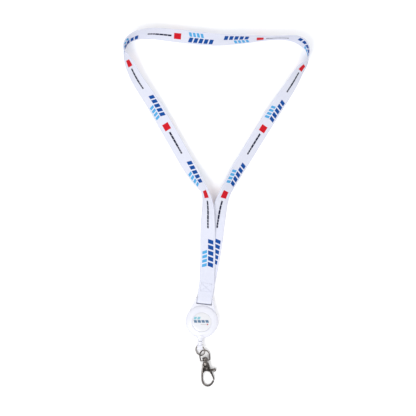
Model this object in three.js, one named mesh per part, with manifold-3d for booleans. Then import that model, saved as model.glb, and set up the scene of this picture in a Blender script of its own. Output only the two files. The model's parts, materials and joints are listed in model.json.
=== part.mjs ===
/**
 * Neck lanyard lying on a table: a woven strap folded into a loop, a retracting cord reel
 * sewn into its ends, and a swivelling trigger hook on the cord's end fitting.
 * Millimetres, +Z up from the table, +Y from the hook to the back of the neck loop.
 */
import * as THREE from 'three';
import { mergeVertices } from 'three/addons/utils/BufferGeometryUtils.js';
import Module from 'manifold-3d';

const wasm = await Module();
wasm.setup();

const DEGREE = Math.PI / 180;
const MERGE_STEP = 1e-4;
const GAP = 0.3;

// Brings the middle of the lanyard's base to the origin.
const BASE_SHIFT = new THREE.Vector3(0, -0.35, 0);

// Strap webbing.
const STRAP_WIDTH = 15;
const STRAP_THICKNESS = 0.9;
const STRAP_STEPS_PER_POINT = 3;

// Reel: origin at the middle of its back, +Y towards the strap.
const REEL_AT = new THREE.Vector3(-14.7, -114.9, 0);
const REEL_TURN = -7 * DEGREE;
const SHELL_RADIUS = 16.5;
const SHELL_BORE = 15.3;
const REAR_DEPTH = 4.2;
const FRONT_START = REAR_DEPTH + GAP;
const SHELL_DEPTH = 9;
const FLOOR_THICKNESS = 1.2;
const ROUND_SIDES = 72;

// Strap bracket on the reel.
const POST_INNER = 7.8;
const SLOT_FLOOR = 16.8;
const BRACKET_TOP = 23.6;
const BRACKET_FRONT_Z = 6;
const BAR_Y = 20;
const BAR_Z = 2.6;
const BAR_RADIUS = 1.1;
const FOLD_RADIUS = 1.85;

// Label recess on the reel's front.
const LABEL_RADIUS = 9.5;
const RECESS_FLOOR = 8.2;
const LABEL_THICKNESS = 0.4;

// Spool, its spring and the wound cord.
const AXLE_RADIUS = 2;
const AXLE_TOP = 7;
const SPOOL_BORE = AXLE_RADIUS + 0.4;
const FLANGE_RADIUS = 13.5;
const SPOOL_FLOOR = 1.6;
const FLANGE_THICKNESS = 0.7;
const HUB_INNER = 7.8;
const HUB_OUTER = 8.6;
const HUB_TOP = 6;
const LID_THICKNESS = 0.5;
const SPRING_TURNS = 6;
const SPRING_INNER = 2.45;
const SPRING_OUTER = 6.3;
const SPRING_STRIP = 0.25;
const SPRING_HEIGHT = 2.9;
const CORD_RADIUS = 0.4;
const WINDING_INNER = 8.9;
const WINDING_OUTER = 11.3;
const WINDING_HEIGHT = 3.2;

// Cord outlet and the guide bush inside it, both along the reel's -Y.
const OUTLET_Z = 4.35;
const OUTLET_END = -19.4;
const OUTLET_TURN = 2 * DEGREE;
const GUIDE_BORE = 0.9;
const GUIDE_RADIUS = 1.6;
const GUIDE_COLLAR = 2.1;

// End fitting: origin on the axis that the link ring turns on.
const FITTING_AT = new THREE.Vector3(-16.6, -140.1, 4.4);
const BARREL_RADIUS = 2.95;
const BARREL_HALF = 2.8;
const BARREL_DROP = 0.7;
const RING_HOLE = 1.9;
const COLLAR_RADIUS = 2.55;
const COLLAR_TOP = 5.3;

// Link ring: a slightly long jump ring that hangs from the fitting and leans to one side.
const RING_HALF_WIDTH = 4.5;
const RING_HALF_LENGTH = 5.5;
const RING_WIRE = 0.6;
const RING_MIDDLE = new THREE.Vector3(0.25, -4.27, -1.48);
const RING_TILT = 17 * DEGREE;
const RING_LEAN = -14 * DEGREE;
const RING_TURN = 18 * DEGREE;
const RING_SEAM = 8 * DEGREE;

// Swivel bail and hook: origin where the swivel shank crosses the bail's base bar.
const SWIVEL_AT = new THREE.Vector3(-11.35, -154.5, 3.05);
const HOOK_YAW = 6.6 * DEGREE;
const HOOK_PITCH = 4.1 * DEGREE;
const BAIL_PITCH = -4 * DEGREE;
const BAIL_ROLL = 12 * DEGREE;
const BAIL_WIRE = 0.7;
const BAIL_HALF = 4.9;
const BAIL_LEG = 5.4;
const BAIL_RISE = 5;
const BOSS_RADIUS = 2;
const BOSS_HALF = 0.6;
const SHANK_RADIUS = 1.1;
const BODY_HALF = 1.9;
const EYE_HALF = 1.05;
const PIVOT = new THREE.Vector2(0.6, -8.2);
const PIN_RADIUS = 0.7;
const LEVER_HALF = 0.75;
const LEVER_SLOT = 1.05;

const WEBBING = { color: 0xf2f3fb, roughness: 0.85, metalness: 0 };
const THREAD = { color: 0xf7f7fc, roughness: 0.8, metalness: 0 };
const WHITE_ABS = { color: 0xf6f6fb, roughness: 0.28, metalness: 0 };
const LABEL_FILM = { color: 0xfafafa, roughness: 0.2, metalness: 0 };
const ACETAL = { color: 0xe9e9ee, roughness: 0.5, metalness: 0 };
const NYLON_CORD = { color: 0xf4f4f8, roughness: 0.6, metalness: 0 };
const SPRING_STEEL = { color: 0x8f9499, roughness: 0.3, metalness: 1 };
const NICKEL = { color: 0xb9b4ac, roughness: 0.18, metalness: 1 };

/** Sum of the tetrahedra under a mesh's triangles; negative when the mesh is inside out. */
function signedVolume(position, corners) {
  const points = [new THREE.Vector3(), new THREE.Vector3(), new THREE.Vector3()];
  let total = 0;
  for (let i = 0; i < corners.length; i += 3) {
    points.forEach((point, k) => point.fromBufferAttribute(position, corners[i + k]));
    total += points[0].dot(points[1].clone().cross(points[2])) / 6;
  }
  return total;
}

/** A closed mesh with positions only: vertices merged, no collapsed faces, facing out. */
function closed(geometry) {
  const bare = geometry.clone();
  bare.deleteAttribute('normal');
  bare.deleteAttribute('uv');
  const merged = mergeVertices(bare, MERGE_STEP);
  const index = merged.index.array;
  const kept = [];
  for (let i = 0; i < index.length; i += 3) {
    const [a, b, c] = index.slice(i, i + 3);
    if (a !== b && b !== c && c !== a) kept.push(a, b, c);
  }
  if (signedVolume(merged.attributes.position, kept) < 0) kept.reverse();
  merged.setIndex(kept);
  return merged;
}

function toSolid(geometry) {
  const base = closed(geometry);
  return new wasm.Manifold(new wasm.Mesh({
    numProp: 3,
    vertProperties: new Float32Array(base.attributes.position.array),
    triVerts: new Uint32Array(base.index.array),
  }));
}

function fromSolid(solid) {
  const mesh = solid.getMesh();
  const geometry = new THREE.BufferGeometry();
  geometry.setAttribute('position', new THREE.BufferAttribute(mesh.vertProperties, 3));
  geometry.setIndex(new THREE.BufferAttribute(mesh.triVerts, 1));
  return geometry;
}

function join(...shapes) {
  return fromSolid(shapes.map(toSolid).reduce((whole, next) => whole.add(next)));
}

function cut(shape, ...tools) {
  return fromSolid(tools.map(toSolid).reduce((left, tool) => left.subtract(tool), toSolid(shape)));
}

function common(shape, other) {
  return fromSolid(toSolid(shape).intersect(toSolid(other)));
}

/** A profile of [radius, height] pairs turned about Y. */
function turnedY(profile, sides = ROUND_SIDES) {
  return new THREE.LatheGeometry(profile.map(([r, h]) => new THREE.Vector2(r, h)), sides);
}

/** A profile of [radius, height] pairs turned about Z. */
function turnedZ(profile, sides = ROUND_SIDES) {
  return turnedY(profile, sides).rotateX(Math.PI / 2);
}

/** A rod of given radius from low to high along Z. */
function rodZ(radius, low, high, sides = 32) {
  return turnedZ([[0, low], [radius, low], [radius, high], [0, high]], sides);
}

function block(low, high) {
  const size = new THREE.Vector3().subVectors(high, low);
  const middle = new THREE.Vector3().addVectors(low, high).multiplyScalar(0.5);
  return new THREE.BoxGeometry(size.x, size.y, size.z).translate(middle.x, middle.y, middle.z);
}

/** A flat outline raised from low to high, its edges cut back by bevel. */
function plate(shape, low, high, bevel = 0) {
  const geometry = new THREE.ExtrudeGeometry(shape, {
    depth: high - low - 2 * bevel,
    curveSegments: 2,
    bevelEnabled: bevel > 0,
    bevelThickness: bevel,
    bevelSize: bevel,
    bevelOffset: -bevel,
    bevelSegments: 2,
  });
  return geometry.translate(0, 0, low + bevel);
}

function outline(points) {
  return new THREE.Shape(points.map(([x, y]) => new THREE.Vector2(x, y)));
}

function tube(curve, radius, sides, steps) {
  const section = new THREE.Shape();
  for (let i = 0; i < sides; i += 1) {
    const angle = (2 * Math.PI * i) / sides;
    const corner = [radius * Math.cos(angle), radius * Math.sin(angle)];
    if (i === 0) section.moveTo(...corner);
    else section.lineTo(...corner);
  }
  section.closePath();
  return new THREE.ExtrudeGeometry(section, { steps, extrudePath: curve, bevelEnabled: false });
}

function part(name, geometry, finish) {
  const mesh = new THREE.Mesh(closed(geometry), new THREE.MeshStandardMaterial(finish));
  mesh.name = name;
  return mesh;
}

// ---------------------------------------------------------------- strap

/** A point of the reel's own frame, at height z, in the lanyard's frame. */
function fromReel(x, y, z) {
  return new THREE.Vector3(x, y, z).applyAxisAngle(new THREE.Vector3(0, 0, 1), REEL_TURN).add(REEL_AT);
}

/**
 * The strap's route past the sewn joint: x, y, z and the lean of its width in degrees, which
 * is 0 lying flat and -90 standing on its outer edge.
 */
const NECK_ROUTE = [
  [-9.2, -65.1, 2.2, 0], [-8.6, -49.1, 1.65, 0], [-8.6, -31.1, 1.65, 0],
  [-8.6, -13.6, 3.05, -20], [-8.4, -1.6, 4.8, -35], [-9.2, 8.9, 6.1, -50],
  [-12.1, 18.4, 6.8, -60], [-16.5, 25.1, 6.25, -52], [-21.8, 32.9, 4.85, -36],
  [-31.5, 49.4, 3.6, -24], [-54.5, 89.9, 3.05, -20], [-66.5, 110.2, 3.6, -25],
  [-79.9, 130.4, 4.95, -37], [-87.5, 145.5, 6.15, -50], [-91.5, 154.7, 7.3, -71],
  [-93.3, 160.9, 7.55, -89], [-91, 168.5, 7.5, -101], [-83, 174.5, 7.15, -113],
  [-68, 177.2, 6.4, -126], [-41, 175.3, 5.35, -139], [-21.5, 173.2, 5, -142],
  [0.5, 171.1, 5.95, -132.5], [24, 171.3, 6.95, -117], [50.5, 172.4, 7.55, -97],
  [66.5, 172.9, 7.55, -94], [79.8, 171.8, 7.35, -107], [87.1, 168.4, 7.25, -112],
  [92.1, 162.4, 7.5, -102], [93.3, 154.5, 7.55, -90], [90.7, 147.7, 7.35, -74],
  [85, 140.7, 6.5, -56], [76.5, 126.4, 5.3, -41], [60.5, 101.9, 3.75, -26],
  [38.5, 66.9, 3.7, -25], [22.8, 40.9, 4, -28], [14, 25.4, 5.35, -40],
  [8.6, 15.4, 5.3, -40], [4.4, 3.4, 3.9, -26], [1.5, -12.6, 1.6, -8],
  [-0.7, -30.1, 0.67, 0], [-3.4, -48.1, 0.52, 0], [-6.2, -63.1, 0.6, 0],
];

/** Stations where the strap lies in the reel's own direction: the fold round the bar. */
function foldStations(across) {
  const flat = (x, y, z) => ({ at: fromReel(x, y, z), across });
  const stations = [flat(0.2, 41.5, 0.8), flat(0.1, 32, 0.8), flat(0, 24, 0.78)];
  for (let turn = -90; turn >= -270; turn -= 45) {
    const angle = turn * DEGREE;
    stations.push(flat(0, BAR_Y + FOLD_RADIUS * Math.cos(angle), BAR_Z + FOLD_RADIUS * Math.sin(angle)));
  }
  return [...stations, flat(0.1, 23.5, 4.2), flat(0.2, 29.5, 3.2), flat(0.4, 40, 3.15)];
}

/** Stations of the sewn-in far end, between the two layers of the fold. */
function endStations(across) {
  return [[0.9, 40, 2], [0.9, 33, 2], [0.6, 25.5, 2.1]].map(([x, y, z]) => (
    { at: fromReel(x, y, z), across }));
}

/** The whole route, with the direction of the strap's width at each station. */
function strapStations() {
  const inwards = new THREE.Vector3(-1, 0, 0).applyAxisAngle(new THREE.Vector3(0, 0, 1), REEL_TURN);
  const before = foldStations(inwards);
  const after = endStations(inwards.clone().negate());
  const loop = NECK_ROUTE.map(([x, y, z]) => ({ at: new THREE.Vector3(x, y, z) }));
  const stations = [...before, ...loop, ...after];
  const route = new THREE.CatmullRomCurve3(stations.map((station) => station.at));
  NECK_ROUTE.forEach(([, , , lean], i) => {
    const along = route.getTangent((before.length + i) / (stations.length - 1));
    const left = new THREE.Vector3(-along.y, along.x, 0).normalize();
    const across = left.multiplyScalar(Math.cos(lean * DEGREE));
    across.z = Math.sin(lean * DEGREE);
    stations[before.length + i].across = across;
  });
  return stations;
}

/** A long box bent along the strap's route. */
function strapGeometry() {
  const stations = strapStations();
  const route = new THREE.CatmullRomCurve3(stations.map((station) => station.at));
  const widths = new THREE.CatmullRomCurve3(
    stations.map((station) => station.across), false, 'catmullrom', 0.5);
  const steps = (stations.length - 1) * STRAP_STEPS_PER_POINT;
  const geometry = new THREE.BoxGeometry(STRAP_WIDTH, STRAP_THICKNESS, 1, 1, 1, steps);
  const position = geometry.attributes.position;
  for (let i = 0; i < position.count; i += 1) {
    const t = THREE.MathUtils.clamp(position.getZ(i) + 0.5, 0, 1);
    const along = route.getTangent(t);
    const side = widths.getPoint(t);
    side.addScaledVector(along, -side.dot(along)).normalize();
    const face = new THREE.Vector3().crossVectors(along, side);
    const point = route.getPoint(t);
    point.addScaledVector(side, position.getX(i)).addScaledVector(face, position.getY(i));
    position.setXYZ(i, point.x, point.y, point.z);
  }
  return geometry;
}

/** A box of stitches with a cross in it, as one thin frame in the reel's own frame. */
function stitchFrame(low, high) {
  const [halfX, halfY, line] = [5.6, 4.2, 0.35];
  const middle = 34.8;
  const bar = (x0, y0, x1, y1) => {
    const length = Math.hypot(x1 - x0, y1 - y0) + line;
    const rod = new THREE.BoxGeometry(length, 2 * line, high - low);
    rod.rotateZ(Math.atan2(y1 - y0, x1 - x0));
    return rod.translate((x0 + x1) / 2, middle + (y0 + y1) / 2, (low + high) / 2);
  };
  return join(
    bar(-halfX, -halfY, halfX, -halfY),
    bar(-halfX, halfY, halfX, halfY),
    bar(-halfX, -halfY, -halfX, halfY),
    bar(halfX, -halfY, halfX, halfY),
    bar(-halfX, -halfY, halfX, halfY),
    bar(-halfX, halfY, halfX, -halfY),
  );
}

// ---------------------------------------------------------------- reel

/** Plan of the two strap posts and the neck that joins them to the round shell. */
function bracketOutline() {
  const side = [[13.2, 9.9], [11.8, 14], [10.6, 17.2], [9.7, 20.4], [9.1, 22.8], [8.7, BRACKET_TOP]];
  const slot = [[POST_INNER, BRACKET_TOP], [POST_INNER, SLOT_FLOOR]];
  const half = [...side, ...slot];
  const mirrored = half.map(([x, y]) => [-x, y]).reverse();
  return outline([...half, ...mirrored]);
}

/** The trumpet-shaped outlet under the shell, solid, before it is split and bored. */
function outletCone() {
  const cone = turnedY([
    [0, OUTLET_END], [2.1, OUTLET_END], [2.35, OUTLET_END + 0.3], [2.6, -18.2], [3.2, -17],
    [4.1, -15.9], [4.1, -14], [0, -14],
  ], 32);
  return cone.translate(0, 0, OUTLET_Z).rotateZ(OUTLET_TURN);
}

function outletBore() {
  const bore = GUIDE_RADIUS + GAP;
  const groove = GUIDE_COLLAR + GAP;
  return turnedY([
    [0, -20], [bore, -20], [bore, -17.6], [groove, -17.6], [groove, -16.2], [bore, -16.2],
    [bore, -13], [0, -13],
  ], 24).translate(0, 0, OUTLET_Z).rotateZ(OUTLET_TURN);
}

function rearHousing() {
  const disc = turnedZ([
    [0, 0], [SHELL_RADIUS - 1, 0], [SHELL_RADIUS, 1], [SHELL_RADIUS, REAR_DEPTH], [0, REAR_DEPTH],
  ]);
  const bracket = plate(bracketOutline(), 0, REAR_DEPTH, 0.3);
  const bar = rodZ(BAR_RADIUS, -POST_INNER - 0.4, POST_INNER + 0.4, 16)
    .rotateY(Math.PI / 2).translate(0, BAR_Y, BAR_Z);
  const keep = block(new THREE.Vector3(-9, -25, 0), new THREE.Vector3(9, 0, REAR_DEPTH));
  const shell = join(disc, bracket, bar, common(outletCone(), keep));
  const cavity = rodZ(SHELL_BORE, FLOOR_THICKNESS, REAR_DEPTH + 1, ROUND_SIDES);
  const hollow = cut(shell, cavity, outletBore());
  return join(hollow, rodZ(AXLE_RADIUS, FLOOR_THICKNESS - 0.2, AXLE_TOP));
}

function frontHousing() {
  const dome = turnedZ([
    [0, FRONT_START], [SHELL_RADIUS, FRONT_START], [SHELL_RADIUS, 5.6], [16, 6.7], [14.8, 7.8],
    [13, 8.6], [10.8, SHELL_DEPTH], [LABEL_RADIUS + 0.4, SHELL_DEPTH], [LABEL_RADIUS + 0.4, RECESS_FLOOR],
    [0, RECESS_FLOOR],
  ]);
  const bracket = plate(bracketOutline(), FRONT_START, BRACKET_FRONT_Z, 0.3);
  const keep = block(new THREE.Vector3(-9, -25, FRONT_START), new THREE.Vector3(9, 0, SHELL_DEPTH));
  const shell = join(dome, bracket, common(outletCone(), keep));
  const cavity = turnedZ([[0, 4], [SHELL_BORE, 4], [SHELL_BORE, 5.6], [13.2, 7.4], [0, 7.4]]);
  return cut(shell, cavity, outletBore());
}

function labelDisc() {
  const low = RECESS_FLOOR + GAP;
  return rodZ(LABEL_RADIUS, low, low + LABEL_THICKNESS, ROUND_SIDES);
}

function cordGuide() {
  return turnedY([
    [GUIDE_BORE, OUTLET_END], [GUIDE_RADIUS - 0.2, OUTLET_END], [GUIDE_RADIUS, OUTLET_END + 0.3],
    [GUIDE_RADIUS, -17.3], [GUIDE_COLLAR, -17.3], [GUIDE_COLLAR, -16.5], [GUIDE_RADIUS, -16.5],
    [GUIDE_RADIUS, -15.3], [1.3, -15], [1.1, -15.2], [GUIDE_BORE, -15.8], [GUIDE_BORE, OUTLET_END],
  ], 24).translate(0, 0, OUTLET_Z).rotateZ(OUTLET_TURN);
}

function spoolDrum() {
  const floorTop = SPOOL_FLOOR + FLANGE_THICKNESS;
  const drum = turnedZ([
    [SPOOL_BORE, SPOOL_FLOOR], [FLANGE_RADIUS, SPOOL_FLOOR], [FLANGE_RADIUS, floorTop],
    [HUB_OUTER, floorTop], [HUB_OUTER, HUB_TOP], [HUB_INNER, HUB_TOP], [HUB_INNER, floorTop],
    [SPOOL_BORE, floorTop], [SPOOL_BORE, SPOOL_FLOOR],
  ], 48);
  const cordHole = rodZ(0.6, HUB_INNER - 1, HUB_OUTER + 1, 12)
    .rotateY(Math.PI / 2).translate(0, 0, WINDING_INNER / 2);
  return cut(drum, cordHole);
}

function spoolLid() {
  const low = HUB_TOP + GAP;
  return turnedZ([
    [SPOOL_BORE, low], [6.9, low], [6.9, low - 0.6], [HUB_INNER - GAP, low - 0.6], [HUB_INNER - GAP, low],
    [FLANGE_RADIUS, low], [FLANGE_RADIUS, low + LID_THICKNESS], [SPOOL_BORE, low + LID_THICKNESS],
    [SPOOL_BORE, low],
  ], 48);
}

/** A flat strip wound outwards from the axle, drawn as its two edges. */
function spiralSpring() {
  const inner = [];
  const outer = [];
  const steps = SPRING_TURNS * 16;
  for (let i = 0; i <= steps; i += 1) {
    const angle = (2 * Math.PI * SPRING_TURNS * i) / steps;
    const radius = SPRING_INNER + ((SPRING_OUTER - SPRING_STRIP - SPRING_INNER) * i) / steps;
    inner.push([radius * Math.cos(angle), radius * Math.sin(angle)]);
    outer.push([(radius + SPRING_STRIP) * Math.cos(angle), (radius + SPRING_STRIP) * Math.sin(angle)]);
  }
  const low = SPOOL_FLOOR + FLANGE_THICKNESS + GAP;
  return plate(outline([...inner, ...outer.reverse()]), low, low + SPRING_HEIGHT);
}

function cordWinding() {
  const low = SPOOL_FLOOR + FLANGE_THICKNESS + GAP + 0.1;
  const high = low + WINDING_HEIGHT;
  return turnedZ([
    [WINDING_INNER, low], [WINDING_OUTER - 0.3, low], [WINDING_OUTER, low + 0.3],
    [WINDING_OUTER, high - 0.3], [WINDING_OUTER - 0.3, high], [WINDING_INNER, high],
    [WINDING_INNER, low],
  ], 48);
}

function knot(radius) {
  return new THREE.SphereGeometry(radius, 12, 8);
}

/** Cord from the winding's edge through the guide to the knot in the end fitting. */
function cordLead() {
  const route = new THREE.CatmullRomCurve3([
    fromReel(9.2, -7.8, OUTLET_Z), fromReel(6.2, -10.6, OUTLET_Z), fromReel(3.2, -12.6, OUTLET_Z),
    fromReel(1.6, -13.8, OUTLET_Z), fromReel(0.7, -14.9, OUTLET_Z), fromReel(0.57, -16.4, OUTLET_Z),
    fromReel(0.67, -19.2, OUTLET_Z),
    new THREE.Vector3(FITTING_AT.x, FITTING_AT.y + COLLAR_TOP - 0.3, FITTING_AT.z),
    new THREE.Vector3(FITTING_AT.x, FITTING_AT.y + 4.2, FITTING_AT.z),
  ]);
  return tube(route, CORD_RADIUS, 8, 20);
}

// ---------------------------------------------------------------- end fitting, ring, hook

function endBead() {
  const edge = 0.5;
  const barrel = turnedY([
    [0, -BARREL_HALF], [BARREL_RADIUS - edge, -BARREL_HALF], [BARREL_RADIUS, edge - BARREL_HALF],
    [BARREL_RADIUS, BARREL_HALF - edge], [BARREL_RADIUS - edge, BARREL_HALF], [0, BARREL_HALF],
  ], 32).rotateZ(Math.PI / 2).translate(0, -BARREL_DROP, 0);
  const collar = turnedY([
    [0, 1], [2.1, 1], [2.1, 3], [COLLAR_RADIUS, 3.4], [COLLAR_RADIUS, COLLAR_TOP - 0.4],
    [COLLAR_RADIUS - 0.4, COLLAR_TOP], [0, COLLAR_TOP],
  ], 32);
  const ringHole = turnedY([
    [0, -4], [RING_HOLE + 0.8, -4], [RING_HOLE, -1.9], [RING_HOLE, 1.9], [RING_HOLE + 0.8, 4], [0, 4],
  ], 24).rotateZ(Math.PI / 2);
  const cordBore = turnedY([[0, 0], [1.45, 0], [1.45, 4], [0.8, 4.3], [0.8, 7], [0, 7]], 20);
  return cut(join(barrel, collar), ringHole, cordBore);
}

/** A jump ring: round wire bent to an oval, open by a narrow seam on its left. */
function linkRing() {
  const points = [];
  for (let i = 0; i <= 32; i += 1) {
    const angle = Math.PI + RING_SEAM / 2 + ((2 * Math.PI - RING_SEAM) * i) / 32;
    const [x, y] = [RING_HALF_WIDTH * Math.cos(angle), RING_HALF_LENGTH * Math.sin(angle)];
    points.push(new THREE.Vector3(x, y, 0));
  }
  return tube(new THREE.CatmullRomCurve3(points), RING_WIRE, 8, 48);
}

/** Wire bent to a horseshoe, its ends set in the boss that turns on the shank. */
function swivelBail() {
  const right = [[1.8, 0], [3.6, 0], [4.65, 0.25], [BAIL_HALF, 1.3], [BAIL_HALF, 3.4]];
  const arc = [];
  for (let turn = 0; turn <= 180; turn += 22.5) {
    const angle = turn * DEGREE;
    arc.push([BAIL_HALF * Math.cos(angle), BAIL_LEG + BAIL_RISE * Math.sin(angle)]);
  }
  const left = right.map(([x, y]) => [-x, y]).reverse();
  const points = [...right, ...arc, ...left].map(([x, y]) => new THREE.Vector3(x, y, 0));
  const wire = tube(new THREE.CatmullRomCurve3(points), BAIL_WIRE, 8, 52);
  const boss = turnedY([
    [1.5, -BOSS_HALF], [BOSS_RADIUS, -BOSS_HALF], [BOSS_RADIUS, BOSS_HALF], [1.5, BOSS_HALF],
    [1.5, -BOSS_HALF],
  ], 24);
  return join(wire, boss);
}

/** Mushroom-headed rivet that the bail turns on, along the hook's own Y. */
function swivelRivet() {
  return turnedY([
    [0, -4], [SHANK_RADIUS, -4], [SHANK_RADIUS, 1.2], [2.8, 1.2], [3, 1.6], [2.85, 2.3],
    [2.2, 3], [1.1, 3.4], [0, 3.5],
  ], 24);
}

/** A closed outline that runs smoothly through its points, with a corner at each list's ends. */
function smoothOutline(...runs) {
  const shape = new THREE.Shape();
  runs.forEach((run, i) => {
    const points = run.map(([x, y]) => new THREE.Vector2(x, y));
    if (i === 0) shape.moveTo(points[0].x, points[0].y);
    else shape.lineTo(points[0].x, points[0].y);
    if (points.length > 1) shape.splineThru(points.slice(1));
  });
  return shape;
}

/** The curved eye of the hook, from the body round to the nose. */
function eyeOutline() {
  return smoothOutline([
    [-3.9, -8.5], [-4.5, -10.2], [-5.2, -12.7], [-5.9, -15.5], [-6.2, -18], [-6.1, -20.5],
    [-5.6, -23], [-4.3, -25.1], [-2.4, -26.6], [-0.2, -27.2], [2.1, -26.9], [4.2, -25.6],
    [5.7, -23.8], [6.8, -21.8],
  ], [
    [5.1, -21.6], [3.9, -23.5], [2.2, -24.8], [-0.2, -25.2], [-2.4, -24.4], [-3.6, -22.8],
    [-4.2, -20.7], [-4.3, -18.2], [-4, -15.6], [-3.4, -13], [-2.1, -11.4], [-0.4, -10.8],
  ], [[-0.4, -8.5]]);
}

function bodyOutline() {
  return smoothOutline(
    [[-2.6, -2.7], [2.8, -2.7]],
    [[3.5, -3.6], [4, -6.8], [4.4, -9], [4.9, -11]],
    [[3.9, -12.6], [2.2, -11.6], [0, -10.9], [-2, -11.2], [-3.4, -12.5]],
    [[-4.8, -11.6], [-4.3, -9.2], [-3.8, -6.4], [-3.3, -3.6]],
  );
}

/** The gate from its hub down to the nose, without the knob. */
function leverOutline() {
  const hub = [];
  for (let turn = 250; turn >= 60; turn -= 30) {
    const angle = turn * DEGREE;
    hub.push([PIVOT.x + 1.9 * Math.cos(angle), PIVOT.y + 1.9 * Math.sin(angle)]);
  }
  return smoothOutline(hub, [
    [3, -7.1], [4.6, -9], [5.5, -12], [6.4, -15.6], [7.1, -18.4], [7.3, -20.2],
  ], [
    [6.8, -20.9], [5.9, -20.7], [5.7, -19.4], [5, -17], [4, -14.4], [2.9, -12.4], [1.4, -10.6],
  ]);
}

function knobOutline() {
  return smoothOutline([
    [6.5, -10.4], [6.9, -9.5], [7.8, -9], [8.9, -9.1], [9.8, -9.8], [10.1, -10.9], [9.7, -12],
    [8.8, -12.7], [7.7, -12.7], [6.9, -12], [6.5, -11],
  ]);
}

function hookBody() {
  const collar = turnedY([[0, -4.5], [2.4, -4.5], [2.6, -3], [2.6, -1.7], [2.2, -1.3], [0, -1.3]], 24);
  const eye = plate(eyeOutline(), -EYE_HALF, EYE_HALF, 0.3);
  const body = plate(bodyOutline(), -BODY_HALF, BODY_HALF, 0.4);
  const leverSlot = block(new THREE.Vector3(-1.7, -14, -LEVER_SLOT), new THREE.Vector3(9, -5.9, LEVER_SLOT));
  const shankHole = rodZ(SHANK_RADIUS + GAP, -4.3, 0, 24).rotateX(-Math.PI / 2);
  const pinHole = rodZ(PIN_RADIUS + GAP, -3, 3, 20).translate(PIVOT.x, PIVOT.y, 0);
  return cut(join(collar, body, eye), leverSlot, shankHole, pinHole);
}

function gateLever() {
  const stem = outline([[3.6, -8.6], [7.2, -9.8], [7.2, -11.6], [4.4, -11.6]]);
  const lever = join(
    plate(leverOutline(), -LEVER_HALF, LEVER_HALF, 0.2),
    plate(stem, -LEVER_HALF, LEVER_HALF, 0.2),
    plate(knobOutline(), -1.5, 1.5, 0.4),
  );
  const bore = rodZ(PIN_RADIUS + GAP, -3, 3, 20).translate(PIVOT.x, PIVOT.y, 0);
  const springSeat = rodZ(1.6, -3, 0, 20).translate(PIVOT.x, PIVOT.y, 0);
  return cut(lever, bore, springSeat);
}

function gatePin() {
  return rodZ(PIN_RADIUS, -BODY_HALF, BODY_HALF, 20).translate(PIVOT.x, PIVOT.y, 0);
}

function gateSpring() {
  return turnedZ([[1, -0.8], [1.35, -0.8], [1.35, -0.25], [1, -0.25], [1, -0.8]], 20)
    .translate(PIVOT.x, PIVOT.y, 0);
}

// ---------------------------------------------------------------- assembly

function strapAssembly() {
  const strap = new THREE.Group();
  strap.add(part('neck_strap', strapGeometry(), WEBBING));
  const stitches = new THREE.Group();
  stitches.position.copy(REEL_AT);
  stitches.rotation.z = REEL_TURN;
  stitches.add(part('stitching_front', stitchFrame(3.78, 4.05), THREAD));
  stitches.add(part('stitching_back', stitchFrame(0.02, 0.25), THREAD));
  strap.add(stitches);
  return strap;
}

function reelAssembly() {
  const reel = new THREE.Group();
  reel.position.copy(REEL_AT);
  reel.rotation.z = REEL_TURN;
  reel.add(part('rear_housing', rearHousing(), WHITE_ABS));
  reel.add(part('front_housing', frontHousing(), WHITE_ABS));
  reel.add(part('label_disc', labelDisc(), LABEL_FILM));
  reel.add(part('cord_guide', cordGuide(), ACETAL));
  reel.add(part('spiral_spring', spiralSpring(), SPRING_STEEL));
  reel.add(part('spool_drum', spoolDrum(), ACETAL));
  reel.add(part('spool_lid', spoolLid(), ACETAL));
  reel.add(part('cord_winding', cordWinding(), NYLON_CORD));
  const anchor = part('anchor_knot', knot(0.55), NYLON_CORD);
  anchor.position.set(7.05, 0, WINDING_INNER / 2);
  reel.add(anchor);
  return reel;
}

function fittingAssembly() {
  const fitting = new THREE.Group();
  fitting.position.copy(FITTING_AT);
  fitting.add(part('cord_end_bead', endBead(), WHITE_ABS));
  const cordKnot = part('cord_end_knot', knot(1), NYLON_CORD);
  cordKnot.position.set(0, 2.9, 0);
  fitting.add(cordKnot);
  return fitting;
}

function ringAssembly() {
  const ring = part('link_ring', linkRing(), NICKEL);
  ring.position.copy(FITTING_AT).add(RING_MIDDLE);
  ring.rotation.set(RING_TILT, RING_LEAN, RING_TURN, 'XYZ');
  return ring;
}

function hookAssembly() {
  const swivel = new THREE.Group();
  swivel.position.copy(SWIVEL_AT);
  swivel.rotation.z = HOOK_YAW;
  const bail = part('swivel_bail', swivelBail(), NICKEL);
  bail.rotation.set(BAIL_PITCH, BAIL_ROLL, 0, 'XYZ');
  const hook = new THREE.Group();
  hook.rotation.x = HOOK_PITCH;
  hook.add(part('swivel_rivet', swivelRivet(), NICKEL));
  hook.add(part('hook_body', hookBody(), NICKEL));
  hook.add(part('gate_lever', gateLever(), NICKEL));
  hook.add(part('gate_pin', gatePin(), NICKEL));
  hook.add(part('gate_spring', gateSpring(), SPRING_STEEL));
  swivel.add(bail, hook);
  return swivel;
}

const lanyard = new THREE.Group();
lanyard.position.copy(BASE_SHIFT);
lanyard.add(strapAssembly(), reelAssembly(), part('cord_lead', cordLead(), NYLON_CORD));
lanyard.add(fittingAssembly(), ringAssembly(), hookAssembly());

export default lanyard;
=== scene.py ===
"""Neck lanyard: printed webbing strap, retracting cord reel and swivelling trigger hook."""

import json
import logging
import math
from dataclasses import dataclass, field
from enum import Enum
from typing import Any, Sequence

import bpy
import numpy as np
from mathutils import Matrix, Vector

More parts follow.
